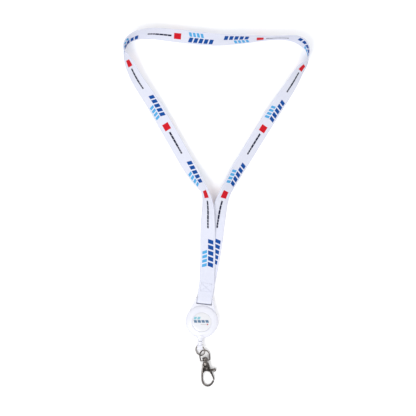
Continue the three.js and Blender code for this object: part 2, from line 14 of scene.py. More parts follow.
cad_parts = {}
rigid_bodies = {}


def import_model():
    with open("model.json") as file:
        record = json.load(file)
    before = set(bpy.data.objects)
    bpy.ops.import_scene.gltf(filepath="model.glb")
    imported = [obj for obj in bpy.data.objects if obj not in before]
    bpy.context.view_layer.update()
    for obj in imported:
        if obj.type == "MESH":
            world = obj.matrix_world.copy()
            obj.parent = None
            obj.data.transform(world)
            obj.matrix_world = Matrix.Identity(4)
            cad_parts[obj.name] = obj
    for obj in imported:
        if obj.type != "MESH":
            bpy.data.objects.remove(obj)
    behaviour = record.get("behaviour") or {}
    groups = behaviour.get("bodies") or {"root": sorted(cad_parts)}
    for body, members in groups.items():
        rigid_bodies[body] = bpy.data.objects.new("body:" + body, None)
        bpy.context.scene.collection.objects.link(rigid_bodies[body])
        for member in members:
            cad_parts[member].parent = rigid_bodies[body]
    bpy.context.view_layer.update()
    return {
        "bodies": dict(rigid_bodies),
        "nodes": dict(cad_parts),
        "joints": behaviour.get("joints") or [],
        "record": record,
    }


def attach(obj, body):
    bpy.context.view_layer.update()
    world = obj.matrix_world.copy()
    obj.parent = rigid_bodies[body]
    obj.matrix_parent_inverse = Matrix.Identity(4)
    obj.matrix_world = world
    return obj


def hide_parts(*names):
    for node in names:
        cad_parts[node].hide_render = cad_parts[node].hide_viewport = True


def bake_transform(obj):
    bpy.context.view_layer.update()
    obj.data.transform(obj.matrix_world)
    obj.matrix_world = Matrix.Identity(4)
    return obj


LOG = logging.getLogger("lanyard")
METRES = Matrix.Scale(0.001, 4)
# A solid is turned about Z, and these lay it along X, along Y, or along Y pointing back.
ALONG_X = Matrix.Rotation(math.radians(90), 4, "Y")
ALONG_Y = Matrix.Rotation(math.radians(-90), 4, "X")
BACK_ALONG_Y = Matrix.Rotation(math.radians(90), 4, "X")
# Light or dark bands that a wave texture has in one unit, about, at a scale of one.
WAVE_BANDS = 6.3
# How softly the ink of a printed bar ends.
BAR_EDGE_MM = 0.3

Pair = tuple[float, float]
Triple = tuple[float, float, float]
Socket = bpy.types.NodeSocket
Tree = bpy.types.NodeTree
Material = bpy.types.Material
Solid = bpy.types.Object


class Body(Enum):
    """The rigid bodies that the pieces ride on."""

    STRAP = "strap"
    REEL = "reel"
    SPOOL = "spool"
    CORD_END = "cord_end"
    RING = "ring"
    BAIL = "bail"
    HOOK = "hook"
    GATE = "gate"


class Slot(Enum):
    """The record's material slots."""

    STRAP = "strap_webbing"
    THREAD = "thread"
    ABS = "white_abs"
    LABEL = "label_film"
    ACETAL = "acetal"
    CORD = "nylon_cord"
    SPRING = "spring_steel"
    NICKEL = "nickel"


# ---------------------------------------------------------------- colours and nodes


def linear(hex_colour: str) -> tuple[float, float, float, float]:
    """Turns an sRGB hex colour to linear RGBA.

    Args:
        hex_colour: Six hex digits, without a hash.

    Returns:
        The linear red, green, blue and an alpha of one.
    """
    channels = [int(hex_colour[i : i + 2], 16) / 255 for i in (0, 2, 4)]
    red, green, blue = (
        c / 12.92 if c <= 0.04045 else ((c + 0.055) / 1.055) ** 2.4 for c in channels
    )
    return red, green, blue, 1.0


def add_node(
    tree: Tree, kind: str, inputs: dict[Any, Any], out: int | str = 0, **settings: Any
) -> Socket | None:
    """Adds a node with its settings, values and links.

    Args:
        tree: The node tree to add to.
        kind: The node's type, without the prefix that all of them share.
        inputs: Input name or index to a value, or to an output socket to link from.
        out: The output to hand on, by name or index.
        **settings: Properties of the node itself.

    Returns:
        That output, or None if the node has none.
    """
    node = tree.nodes.new("ShaderNode" + kind)
    for key, value in settings.items():
        setattr(node, key, value)
    for key, value in inputs.items():
        if isinstance(value, Socket):
            tree.links.new(value, node.inputs[key])
        else:
            node.inputs[key].default_value = value
    return node.outputs[out] if node.outputs else None


def new_material(name: str) -> Material:
    """Makes a material with no nodes yet."""
    material = bpy.data.materials.new(name)
    material.use_nodes = True
    material.node_tree.nodes.clear()
    return material


def finished(material: Material, inputs: dict[str, Any]) -> Material:
    """Gives a material its Principled shader, with these values and links, and returns it."""
    surface = add_node(material.node_tree, "BsdfPrincipled", inputs)
    add_node(material.node_tree, "OutputMaterial", {"Surface": surface})
    return material


def tint_and_raise(
    tree: Tree, pattern: Socket, colours: tuple[str, str], strength: float, depth: float
) -> dict[str, Socket]:
    """Colours a surface by a pattern, and raises it by the same pattern.

    Args:
        tree: The node tree.
        pattern: The pattern, from zero to one.
        colours: The colour where it is zero and where it is one.
        strength: How strongly the relief turns the light.
        depth: The relief's depth, in metres.

    Returns:
        The shader's base colour and normal.
    """
    low, high = (linear(colour) for colour in colours)
    tint = add_node(tree, "Mix", {"Factor": pattern, 6: low, 7: high}, 2, data_type="RGBA")
    relief = {"Height": pattern, "Strength": strength, "Distance": depth}
    return {"Base Color": tint, "Normal": add_node(tree, "Bump", relief)}


def stripe(tree: Tree, value: Socket, low: float, high: float, edge: float) -> Socket:
    """Masks the range low to high of a value, with soft edges.

    Args:
        tree: The node tree.
        value: The coordinate to test.
        low: Where the range starts.
        high: Where it ends.
        edge: The width over which the mask fades.

    Returns:
        One inside the range and zero outside it.
    """
    offset = add_node(tree, "Math", {0: value, 1: (low + high) / 2}, operation="SUBTRACT")
    away = add_node(tree, "Math", {0: offset}, operation="ABSOLUTE")
    inside = add_node(tree, "Math", {0: (high - low) / 2, 1: away}, operation="SUBTRACT")
    fade = {0: inside, 1: 1 / edge, 2: 0.5}
    return add_node(tree, "Math", fade, operation="MULTIPLY_ADD", use_clamp=True)


@dataclass(frozen=True)
class PrintedRow:
    """A printed rectangle, or the leaning bars that fill it, in millimetres."""

    start: float
    end: float
    low: float
    high: float
    ink: str
    # From one bar to the next, how far a bar leans for each unit across, and its share of ink.
    pitch: float = 0.0
    lean: float = 0.0
    fill: float = 1.0

    def mask(self, tree: Tree, along: Socket, across: Socket, edge: float) -> Socket:
        """Masks the row.

        Args:
            tree: The node tree.
            along: Coordinate along the row.
            across: Coordinate across the row.
            edge: How soft the ink's edge is.

        Returns:
            One on the ink and zero beside it.
        """
        limits = {
            0: stripe(tree, along, self.start, self.end, edge),
            1: stripe(tree, across, self.low, self.high, edge),
        }
        inside = add_node(tree, "Math", limits, operation="MULTIPLY")
        if not self.pitch:
            return inside
        leaned = add_node(
            tree, "Math", {0: across, 1: self.lean, 2: along}, operation="MULTIPLY_ADD"
        )
        first = self.start + self.lean * (self.low + self.high) / 2
        passed = add_node(tree, "Math", {0: leaned, 1: first}, operation="SUBTRACT")
        pitches = add_node(tree, "Math", {0: passed, 1: self.pitch}, operation="DIVIDE")
        phase = add_node(tree, "Math", {0: pitches}, operation="FRACT")
        half = self.fill / 2
        bars = stripe(tree, phase, 0.5 - half, 0.5 + half, BAR_EDGE_MM / self.pitch)
        return add_node(tree, "Math", {0: inside, 1: bars}, operation="MULTIPLY")


def print_rows(
    tree: Tree,
    colour: Any,
    along: Socket,
    across: Socket,
    rows: Sequence[PrintedRow],
    edge: float,
    cover: Any,
) -> Socket:
    """Prints rows of ink over a colour.

    Args:
        tree: The node tree.
        colour: The unprinted colour.
        along: Coordinate along the rows.
        across: Coordinate across the rows.
        rows: The rows.
        edge: How soft the ink's edge is.
        cover: How well the ink covers, as a number or a mask.

    Returns:
        The printed colour.
    """
    for row in rows:
        mask = row.mask(tree, along, across, edge)
        laid = add_node(tree, "Math", {0: mask, 1: cover}, operation="MULTIPLY")
        inputs = {"Factor": laid, 6: colour, 7: linear(row.ink)}
        colour = add_node(tree, "Mix", inputs, 2, data_type="RGBA")
    return colour


# ---------------------------------------------------------------- finishes


@dataclass(frozen=True)
class PrintedWebbing:
    """Woven polyester webbing, dye printed: matt, faintly ribbed, with soft-edged inks."""

    cloth: str = "E2E3EB"
    mottle: str = "D3D6E4"
    # The darker colour of the broad blotches: painted shade.
    shade_blotch: str = "CBCFE6"
    navy: str = "1A1B36"
    dark_blue: str = "124994"
    light_blue: str = "52A3D8"
    red: str = "C61524"
    repeat: float = 77.0
    print_end: float = 341.0
    ink_edge: float = 0.3
    # Cloudy unevenness in the cloth's white in blotches of about 3 mm, and painted shade in broad
    # blotches of about 30 mm.
    mottle_per_mm: float = 0.35
    shade_blotch_per_mm: float = 0.03
    # Warp ends 0.6 mm apart and picks 0.42 mm apart, in half-drop rows: a fine ribbed weave.
    warp_pitch: float = 0.6
    pick_pitch: float = 0.42

    def rows(self) -> Sequence[PrintedRow]:
        """One repeat of the print: two rows of bars, a rectangle and a dashed line."""
        return (
            PrintedRow(5.0, 31.0, -5.6, -0.1, self.dark_blue, 5.2, 0.28, 0.74),
            PrintedRow(15.0, 31.0, 0.9, 5.7, self.light_blue, 4.0, -0.28, 0.7),
            PrintedRow(38.4, 45.6, -3.6, 3.4, self.red),
            PrintedRow(48.0, 64.8, -1.15, 0.85, self.navy, 4.2, 0.3, 0.93),
            PrintedRow(64.8, 72.6, -1.0, 0.7, self.navy, 2.6, 0.3, 0.9),
        )

    def white(self, tree: Tree, place: Socket) -> Socket:
        """The unprinted cloth's uneven white, with broad blotches of painted shade, from its place
        on the cloth.
        """
        fine = {"Vector": place, "Scale": self.mottle_per_mm, "Detail": 4.0, "Roughness": 0.6}
        broad = {"Vector": place, "Scale": self.shade_blotch_per_mm, "Detail": 2.0}
        mottle = add_node(tree, "TexNoise", fine, "Fac")
        # Broad noise blotches that darken the cloth: painted shade.
        shade_blotch = add_node(tree, "TexNoise", broad, "Fac")
        half = add_node(tree, "Math", {0: shade_blotch, 1: 0.5}, operation="MULTIPLY")
        cloth: Any = linear(self.mottle)
        for factor, colour in ((mottle, self.cloth), (half, self.shade_blotch)):
            inputs = {"Factor": factor, 6: cloth, 7: linear(colour)}
            cloth = add_node(tree, "Mix", inputs, 2, data_type="RGBA")
        return cloth

    def weave(self, tree: Tree, x: Socket, y: Socket) -> Socket:
        """Raises a pillow at each crossing of the threads.

        Args:
            tree: The material's tree.
            x: Millimetres across the cloth.
            y: Millimetres along the cloth.

        Returns:
            The height, from zero between threads to one on top of them.
        """
        picks = add_node(tree, "Math", {0: y, 1: self.pick_pitch}, operation="DIVIDE")
        row = add_node(tree, "Math", {0: picks}, operation="FLOOR")
        drop = {0: row, 1: self.warp_pitch / 2, 2: x}
        shifted = add_node(tree, "Math", drop, operation="MULTIPLY_ADD")
        pillows = {}
        for index, (value, pitch) in enumerate(((shifted, self.warp_pitch), (y, self.pick_pitch))):
            angle = add_node(tree, "Math", {0: value, 1: math.pi / pitch}, operation="MULTIPLY")
            wave = add_node(tree, "Math", {0: angle}, operation="SINE")
            pillows[index] = add_node(tree, "Math", {0: wave}, operation="ABSOLUTE")
        both = add_node(tree, "Math", pillows, operation="MULTIPLY")
        return add_node(tree, "Math", {0: both}, operation="SQRT")

    def build(self) -> Material:
        """Makes the material."""
        material = new_material("woven_polyester_printed")
        tree = material.node_tree
        place = add_node(tree, "UVMap", {}, uv_map="strap")
        x, y, _ = add_node(tree, "SeparateXYZ", {0: place}).node.outputs
        side = add_node(tree, "Attribute", {}, "Fac", attribute_name="strap_side")
        # The print reads the other way up on the other face, and beyond the middle of the strap.
        face = add_node(tree, "Math", {0: side}, operation="SIGN")
        end = add_node(tree, "Math", {0: y}, operation="SIGN")
        way_up = add_node(tree, "Math", {0: face, 1: end}, operation="MULTIPLY")
        down = add_node(tree, "Math", {0: way_up, 1: -1.0}, operation="MULTIPLY")
        across = add_node(tree, "Math", {0: x, 1: down}, operation="MULTIPLY")
        along = add_node(tree, "Math", {0: y}, operation="ABSOLUTE")
        turn = add_node(tree, "Math", {0: along, 1: self.repeat}, operation="FLOORED_MODULO")
        inked = stripe(tree, along, -1.0, self.print_end, self.ink_edge)
        printed = print_rows(
            tree, self.white(tree, place), turn, across, self.rows(), self.ink_edge, inked
        )
        relief = self.weave(tree, x, y)
        # The cloth's colour is darkened between the threads, following the weave's height: painted
        # shade.
        shade = add_node(tree, "Math", {0: relief, 1: 0.08, 2: 0.945}, operation="MULTIPLY_ADD")
        bump = {"Height": relief, "Strength": 0.35, "Distance": 0.00008}
        return finished(material, {
            "Base Color": add_node(
                tree, "VectorMath", {0: printed, "Scale": shade}, operation="SCALE"
            ),
            "Roughness": 0.82,
            "Specular IOR Level": 0.15,
            "Normal": add_node(tree, "Bump", bump),
        })


@dataclass(frozen=True)
class SewingThread:
    """Spun polyester thread: white, with a fine twist that catches the light, and painted shade in
    its grooves.
    """

    colour: str = "DFE0EA"
    # The darker colour in the twist's grooves: painted shade.
    twist_groove_shade: str = "C9CCDA"
    # The width of each strand of the twist, drawn about twice as coarse as it is, so that it
    # shows.
    twist_mm: float = 0.45

    def build(self) -> Material:
        """Makes the material."""
        material = new_material("spun_polyester_thread")
        tree = material.node_tree
        place = add_node(tree, "TexCoord", {}, "Object")
        bands = {"Vector": place, "Scale": 1000 / self.twist_mm / WAVE_BANDS}
        twist = add_node(tree, "TexWave", bands, "Fac", bands_direction="DIAGONAL")
        return finished(material, {
            **tint_and_raise(tree, twist, (self.twist_groove_shade, self.colour), 0.5, 0.00005),
            "Roughness": 0.6,
            "Sheen Weight": 0.2,
        })


@dataclass(frozen=True)
class MouldedAbs:
    """Injection-moulded white ABS, polished tool: glossy, faintly blue, tiny flow ripples."""

    colour: str = "E1E2EB"
    shade: str = "DDDEE9"
    ripple_mm: float = 6.0
    scuff_mm: float = 2 / 3
    roughness: Pair = (0.2, 0.3)

    def build(self) -> Material:
        """Makes the material."""
        material = new_material("white_abs_gloss_moulded")
        tree = material.node_tree
        place = add_node(tree, "TexCoord", {}, "Object")
        ripples = {"Vector": place, "Scale": 1000 / self.ripple_mm, "Detail": 2.0}
        scuffs = {"Vector": place, "Scale": 1000 / self.scuff_mm, "Detail": 5.0}
        flow = add_node(tree, "TexNoise", ripples, "Fac")
        scuff = add_node(tree, "TexNoise", scuffs, "Fac")
        low, high = self.roughness
        return finished(material, {
            **tint_and_raise(tree, flow, (self.shade, self.colour), 0.05, 0.00005),
            "Roughness": add_node(
                tree, "MapRange", {"Value": scuff, "To Min": low, "To Max": high}
            ),
            "IOR": 1.53,
            "Subsurface Weight": 0.08,
            "Subsurface Radius": (0.0012, 0.0012, 0.0014),
            "Subsurface Scale": 0.5,
        })


@dataclass(frozen=True)
class DomedLabel:
    """Printed film under a clear resin dome: white, with its inks drawn pale as painted highlight,
    seen through gloss.
    """

    centre: Triple = (-0.0147, -0.11525, 0.009)
    film: str = "DDDEE3"
    # The inks are drawn pale and let a little film show through: painted highlight over the print.
    light_blue: str = "7ABACB"
    steel_blue: str = "426A8C"
    grey: str = "A9A4A6"
    red: str = "B02C3C"
    ink_edge: float = 0.35
    ink_cover: float = 0.94

    def rows(self) -> Sequence[PrintedRow]:
        """The label's print: two rows of bars, a line and a small square."""
        return (
            PrintedRow(-8.4, -1.2, 2.7, 5.4, self.light_blue, 3.6, -0.3, 0.78),
            PrintedRow(-8.4, 7.2, -0.6, 2.1, self.steel_blue, 3.9, 0.3, 0.8),
            PrintedRow(-1.3, 4.6, -2.5, -2.1, self.grey),
            PrintedRow(5.0, 6.4, -3.0, -1.6, self.red),
        )

    def build(self) -> Material:
        """Makes the material."""
        material = new_material("printed_film_resin_dome")
        tree = material.node_tree
        centring = {
            "Vector": add_node(tree, "TexCoord", {}, "Object"),
            "Location": tuple(-1000 * c for c in self.centre),
            "Scale": (1000.0, 1000.0, 1000.0),
        }
        centred = add_node(tree, "Mapping", centring)
        x, y, _ = add_node(tree, "SeparateXYZ", {0: centred}).node.outputs
        film = linear(self.film)
        return finished(material, {
            "Base Color": print_rows(
                tree, film, x, y, self.rows(), self.ink_edge, self.ink_cover
            ),
            "Roughness": 0.35,
            "Coat Weight": 0.8,
            "Coat Roughness": 0.06,
        })


@dataclass(frozen=True)
class NaturalAcetal:
    """Moulded natural acetal: satin, milky and slightly waxy."""

    colour: str = "E4E5EA"
    shade: str = "D6D8E0"
    cloud_mm: float = 10 / 3

    def build(self) -> Material:
        """Makes the material."""
        material = new_material("natural_acetal_satin")
        tree = material.node_tree
        place = add_node(tree, "TexCoord", {}, "Object")
        clouds = {"Vector": place, "Scale": 1000 / self.cloud_mm, "Detail": 4.0}
        cloud = add_node(tree, "TexNoise", clouds, "Fac")
        return finished(material, {
            **tint_and_raise(tree, cloud, (self.shade, self.colour), 0.15, 0.00005),
            "Roughness": 0.48,
            "IOR": 1.48,
        })


@dataclass(frozen=True)
class BraidedNylon:
    """Fine braided nylon cord: white, with crossing strands, painted shade in the grooves between
    them, and a soft sheen.
    """

    colour: str = "F2F3F9"
    # The darker colour between the strands: painted shade in the grooves.
    groove: str = "CDD0DE"
    # The real strands are about 0.2 mm wide, and are drawn coarser so that they show.
    strand_mm: float = 0.5
    lay: Triple = (0.6, 0.0, 0.7)

    def build(self) -> Material:
        """Makes the material."""
        material = new_material("braided_nylon_cord")
        tree = material.node_tree
        place = add_node(tree, "TexCoord", {}, "Object")
        tilt, roll, turn = self.lay
        strands = {}
        for index, way in enumerate((turn, -turn)):
            laid = add_node(tree, "Mapping", {"Vector": place, "Rotation": (tilt, roll, way)})
            bands = {"Vector": laid, "Scale": 1000 / self.strand_mm / WAVE_BANDS}
            strands[index] = add_node(tree, "TexWave", bands, "Fac", bands_direction="Y")
        braid = add_node(tree, "Math", strands, operation="MAXIMUM")
        return finished(material, {
            **tint_and_raise(tree, braid, (self.groove, self.colour), 0.6, 0.00006),
            "Roughness": 0.55,
            "Sheen Weight": 0.2,
        })


@dataclass(frozen=True)
class RolledSpringSteel:
    """Tempered spring steel: grey, with faint lines along the rolling direction."""

    colour: str = "8C9196"
    # How long and how far apart the rolling lines are.
    line_mm: Pair = (10 / 3, 0.25)
    roughness: Pair = (0.22, 0.42)

    def build(self) -> Material:
        """Makes the material."""
        material = new_material("spring_steel_rolled")
        tree = material.node_tree
        place = add_node(tree, "TexCoord", {}, "Object")
        long, apart = (1000 / size for size in self.line_mm)
        stretched = add_node(tree, "Mapping", {"Vector": place, "Scale": (long, long, apart)})
        lines = add_node(tree, "TexNoise", {"Vector": stretched, "Scale": 1.0}, "Fac")
        low, high = self.roughness
        return finished(material, {
            "Base Color": linear(self.colour),
            "Metallic": 1.0,
            "Roughness": add_node(
                tree, "MapRange", {"Value": lines, "To Min": low, "To Max": high}
            ),
        })


@dataclass(frozen=True)
class NickelPlate:
    """Bright nickel plate over a small casting or wire: mirror-like, warm grey, finely worn."""

    colour: str = "8B8581"
    worn: str = "565250"
    wear_mm: float = 1.6
    roughness: Pair = (0.05, 0.14)

    def build(self) -> Material:
        """Makes the material."""
        material = new_material("nickel_plate_bright")
        tree = material.node_tree
        place = add_node(tree, "TexCoord", {}, "Object")
        marks = {
            "Vector": place, "Scale": 1000 / self.wear_mm, "Detail": 6.0, "Roughness": 0.65
        }
        wear = add_node(tree, "TexNoise", marks, "Fac")
        low, high = self.roughness
        gloss = {"Value": wear, "From Min": 0.3, "From Max": 0.7, "To Min": low, "To Max": high}
        return finished(material, {
            **tint_and_raise(tree, wear, (self.worn, self.colour), 0.2, 0.00006),
            "Metallic": 1.0,
            "Roughness": add_node(tree, "MapRange", gloss),
        })


@dataclass(frozen=True)
class LightTable:
    """White acrylic light table: matt, and lit a little from below, so that shadows are faint."""

    colour: str = "FDFDFE"
    glow: float = 0.08

    def build(self) -> Material:
        """Makes the material."""
        return finished(new_material("white_acrylic_light_table"), {
            "Base Color": linear(self.colour),
            "Roughness": 0.9,
            "Specular IOR Level": 0.1,
            "Emission Color": linear(self.colour),
            "Emission Strength": self.glow,
        })


# ---------------------------------------------------------------- modelling


def pick_only(obj: Solid) -> None:
    """Makes an object the only one selected, and the active one."""
    bpy.ops.object.select_all(action="DESELECT")
    obj.select_set(True)
    bpy.context.view_layer.objects.active = obj


def apply_modifier(obj: Solid, kind: str, **settings: Any) -> None:
    """Adds a modifier with its settings and applies it."""
    pick_only(obj)
    modifier = obj.modifiers.new(kind.lower(), kind)
    for key, value in settings.items():
        setattr(modifier, key, value)
    bpy.ops.object.modifier_apply(modifier=modifier.name)


def face_out(obj: Solid) -> None:
    """Merges doubled points and turns every face outwards."""
    pick_only(obj)
    bpy.ops.object.mode_set(mode="EDIT")
    bpy.ops.mesh.select_all(action="SELECT")
    bpy.ops.mesh.remove_doubles(threshold=0.0005)
    bpy.ops.mesh.normals_make_consistent(inside=False)
    bpy.ops.object.mode_set(mode="OBJECT")


def turned(profile: Sequence[Pair], sides: int = 96) -> Solid:
    """Turns a solid about Z: a disc is pushed up and sized step by step, as on a lathe.

    Args:
        profile: Radius and height of each step, in millimetres. The ends are closed flat.
        sides: How many sides the solid has.

    Returns:
        The solid.
    """
    bpy.ops.object.select_all(action="DESELECT")
    radius, height = profile[0]
    bpy.ops.mesh.primitive_circle_add(vertices=sides, radius=radius, fill_type="NGON")
    obj = bpy.context.object
    bpy.ops.object.mode_set(mode="EDIT")
    bpy.ops.mesh.select_all(action="SELECT")
    bpy.ops.transform.translate(value=(0, 0, height))
    for next_radius, next_height in profile[1:]:
        bpy.ops.mesh.extrude_region_move(
            TRANSFORM_OT_translate={"value": (0, 0, next_height - height)}
        )
        scale = next_radius / radius
        bpy.ops.transform.resize(value=(scale, scale, 1), center_override=(0, 0, 0))
        radius, height = next_radius, next_height
    bpy.ops.object.mode_set(mode="OBJECT")
    face_out(obj)
    return obj


def curve_solid(curve: bpy.types.Curve) -> Solid:
    """Makes an object of a curve and converts it to a mesh."""
    obj = bpy.data.objects.new(curve.name, curve)
    bpy.context.collection.objects.link(obj)
    pick_only(obj)
    bpy.ops.object.convert(target="MESH")
    solid = bpy.context.object
    face_out(solid)
    return solid


def swept(
    paths: Sequence[np.ndarray],
    radius: float | Sequence[float],
    sides: int = 12,
    closed: bool = False,
) -> Solid:
    """Runs a round wire along one path or several.

    Args:
        paths: The points of each path, in millimetres.
        radius: The wire's radius, or one for each point of every path.
        sides: How many sides the wire has.
        closed: Whether each path joins its own start.

    Returns:
        The wire.
    """
    curve = bpy.data.curves.new("wire", "CURVE")
    curve.dimensions = "3D"
    curve.bevel_depth = 1.0
    curve.bevel_resolution = max(0, sides // 4 - 1)
    curve.use_fill_caps = not closed
    for path in paths:
        spline = curve.splines.new("POLY")
        spline.points.add(len(path) - 1)
        spline.use_cyclic_u = closed
        radii = [radius] * len(path) if isinstance(radius, float) else radius
        for point, place, size in zip(spline.points, path, radii):
            point.co = (*[float(c) for c in place], 1.0)
            point.radius = size
    return curve_solid(curve)


def plate(
    outline: np.ndarray, low: float, high: float, bevel: float = 0.0, steps: int = 3
) -> Solid:
    """Raises a flat outline, with rounded edges.

    Args:
        outline: The outline's points, in millimetres.
        low: The height of its underside.
        high: The height of its top.
        bevel: The radius of the edges.
        steps: How many faces each rounded edge has.

    Returns:
        The plate.
    """
    curve = bpy.data.curves.new("plate", "CURVE")
    curve.dimensions = "2D"
    curve.fill_mode = "BOTH"
    curve.extrude = (high - low) / 2 - bevel
    curve.offset = -bevel
    curve.bevel_depth = bevel
    curve.bevel_resolution = steps
    spline = curve.splines.new("POLY")
    spline.points.add(len(outline) - 1)
    spline.use_cyclic_u = True
    for point, place in zip(spline.points, outline):
        point.co = (float(place[0]), float(place[1]), 0.0, 1.0)
    obj = curve_solid(curve)
    obj.data.transform(Matrix.Translation((0, 0, (low + high) / 2)))
    return obj


def block(low: Triple, high: Triple) -> Solid:
    """A plain block between two corners, used to cut with."""
    bpy.ops.object.select_all(action="DESELECT")
    bpy.ops.mesh.primitive_cube_add(size=1)
    obj = bpy.context.object
    size = Vector(high) - Vector(low)
    middle = (Vector(high) + Vector(low)) / 2
    obj.data.transform(Matrix.Translation(middle) @ Matrix.Diagonal((*size, 1)))
    return obj


def shaped(obj: Solid, how: str, *others: Solid) -> Solid:
    """Joins solids to an object, or cuts them from it.

    Args:
        obj: The solid to change.
        how: UNION, DIFFERENCE or INTERSECT.
        *others: The solids to use, which are then removed.

    Returns:
        The same object.
    """
    for other in others:
        apply_modifier(obj, "BOOLEAN", operation=how, solver="EXACT", object=other)
        bpy.data.objects.remove(other)
    return obj


def recast(obj: Solid, voxel: float, rounds: int) -> Solid:
    """Melts joined solids into one casting with soft corners.

    Args:
        obj: The solid.
        voxel: The grid's pitch, in millimetres.
        rounds: How many times the surface is smoothed.

    Returns:
        The same object.
    """
    apply_modifier(obj, "REMESH", mode="VOXEL", voxel_size=voxel, use_smooth_shade=True)
    apply_modifier(obj, "SMOOTH", factor=0.5, iterations=rounds)
    return obj


def moved(obj: Solid, matrix: Matrix) -> Solid:
    """Moves a solid's points by a matrix."""
    obj.data.transform(matrix)
    return obj


def stretch(
    start: np.ndarray, end: np.ndarray, out: np.ndarray, into: np.ndarray, steps: int
) -> list[np.ndarray]:
    """Steps along one cubic stretch of a line, up to its end.

    Args:
        start: Where it starts.
        end: Where it ends.
        out: The slope at its start.
        into: The slope at its end.
        steps: How many points it gets.

    Returns:
        The points, without the end.
    """
    square = 3 * (end - start) - 2 * out - into
    cube = 2 * (start - end) + out + into
    return [start + out * t + square * t**2 + cube * t**3 for t in np.arange(steps) / steps]


def smooth_line(
    points: Sequence[Sequence[float]], steps: int, closed: bool = False
) -> np.ndarray:
    """Runs a centripetal Catmull-Rom line through points.

    Args:
        points: The points, of two or three numbers each.
        steps: How many steps each stretch gets.
        closed: Whether the line joins its start.

    Returns:
        The line's points.
    """
    knots = np.asarray(points, float)
    count = len(knots)
    before = knots[-1] if closed else 2 * knots[0] - knots[1]
    after = knots[:2] if closed else (2 * knots[-1] - knots[-2])[None]
    padded = np.vstack([before[None], knots, after])
    line = []
    for i in range(count if closed else count - 1):
        p0, p1, p2, p3 = padded[i : i + 4]
        d0, d1, d2 = (
            max(np.linalg.norm(b - a) ** 0.5, 1e-4) for a, b in ((p0, p1), (p1, p2), (p2, p3))
        )
        m1 = ((p1 - p0) / d0 - (p2 - p0) / (d0 + d1) + (p2 - p1) / d1) * d1
        m2 = ((p2 - p1) / d1 - (p3 - p1) / (d1 + d2) + (p3 - p2) / d2) * d1
        line += stretch(p1, p2, m1, m2, steps)
    if not closed:
        line.append(knots[-1])
    return np.array(line)


@dataclass
class Maker:
    """Finishes pieces: names them, puts them in place, dresses them and binds them to bodies."""

    finishes: dict[Slot, Material]

    def add(
        self,
        obj: Solid,
        name: str,
        frame: Matrix,
        body: Body | None,
        slot: Slot,
        replaced: Sequence[str] = (),
        sharp: float = 35.0,
    ) -> Solid:
        """Finishes one piece.

        Args:
            obj: The piece, in millimetres in its own frame.
            name: What it is called.
            frame: Where its own frame lies, in metres.
            body: The body it rides on, or None if it is bound later.
            slot: The material slot it is dressed from.
            replaced: The CAD nodes it stands for.
            sharp: Edges that turn more than this many degrees stay sharp.

        Returns:
            The piece.
        """
        obj.name = name
        obj.data.name = name
        obj.data.transform(frame @ METRES)
        obj.data.materials.clear()
        obj.data.materials.append(self.finishes[slot])
        pick_only(obj)
        bpy.ops.object.shade_smooth_by_angle(angle=math.radians(sharp))
        if replaced:
            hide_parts(*replaced)
        if body is not None:
            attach(obj, body.value)
        LOG.info("%s: %d faces", name, len(obj.data.polygons))
        return obj

    def dress_node(self, name: str, node: Solid, slot: Slot) -> None:
        """Gives a CAD node its finish."""
        node.data.materials.clear()
        node.data.materials.append(self.finishes[slot])
        LOG.info("%s: kept", name)


# ---------------------------------------------------------------- strap


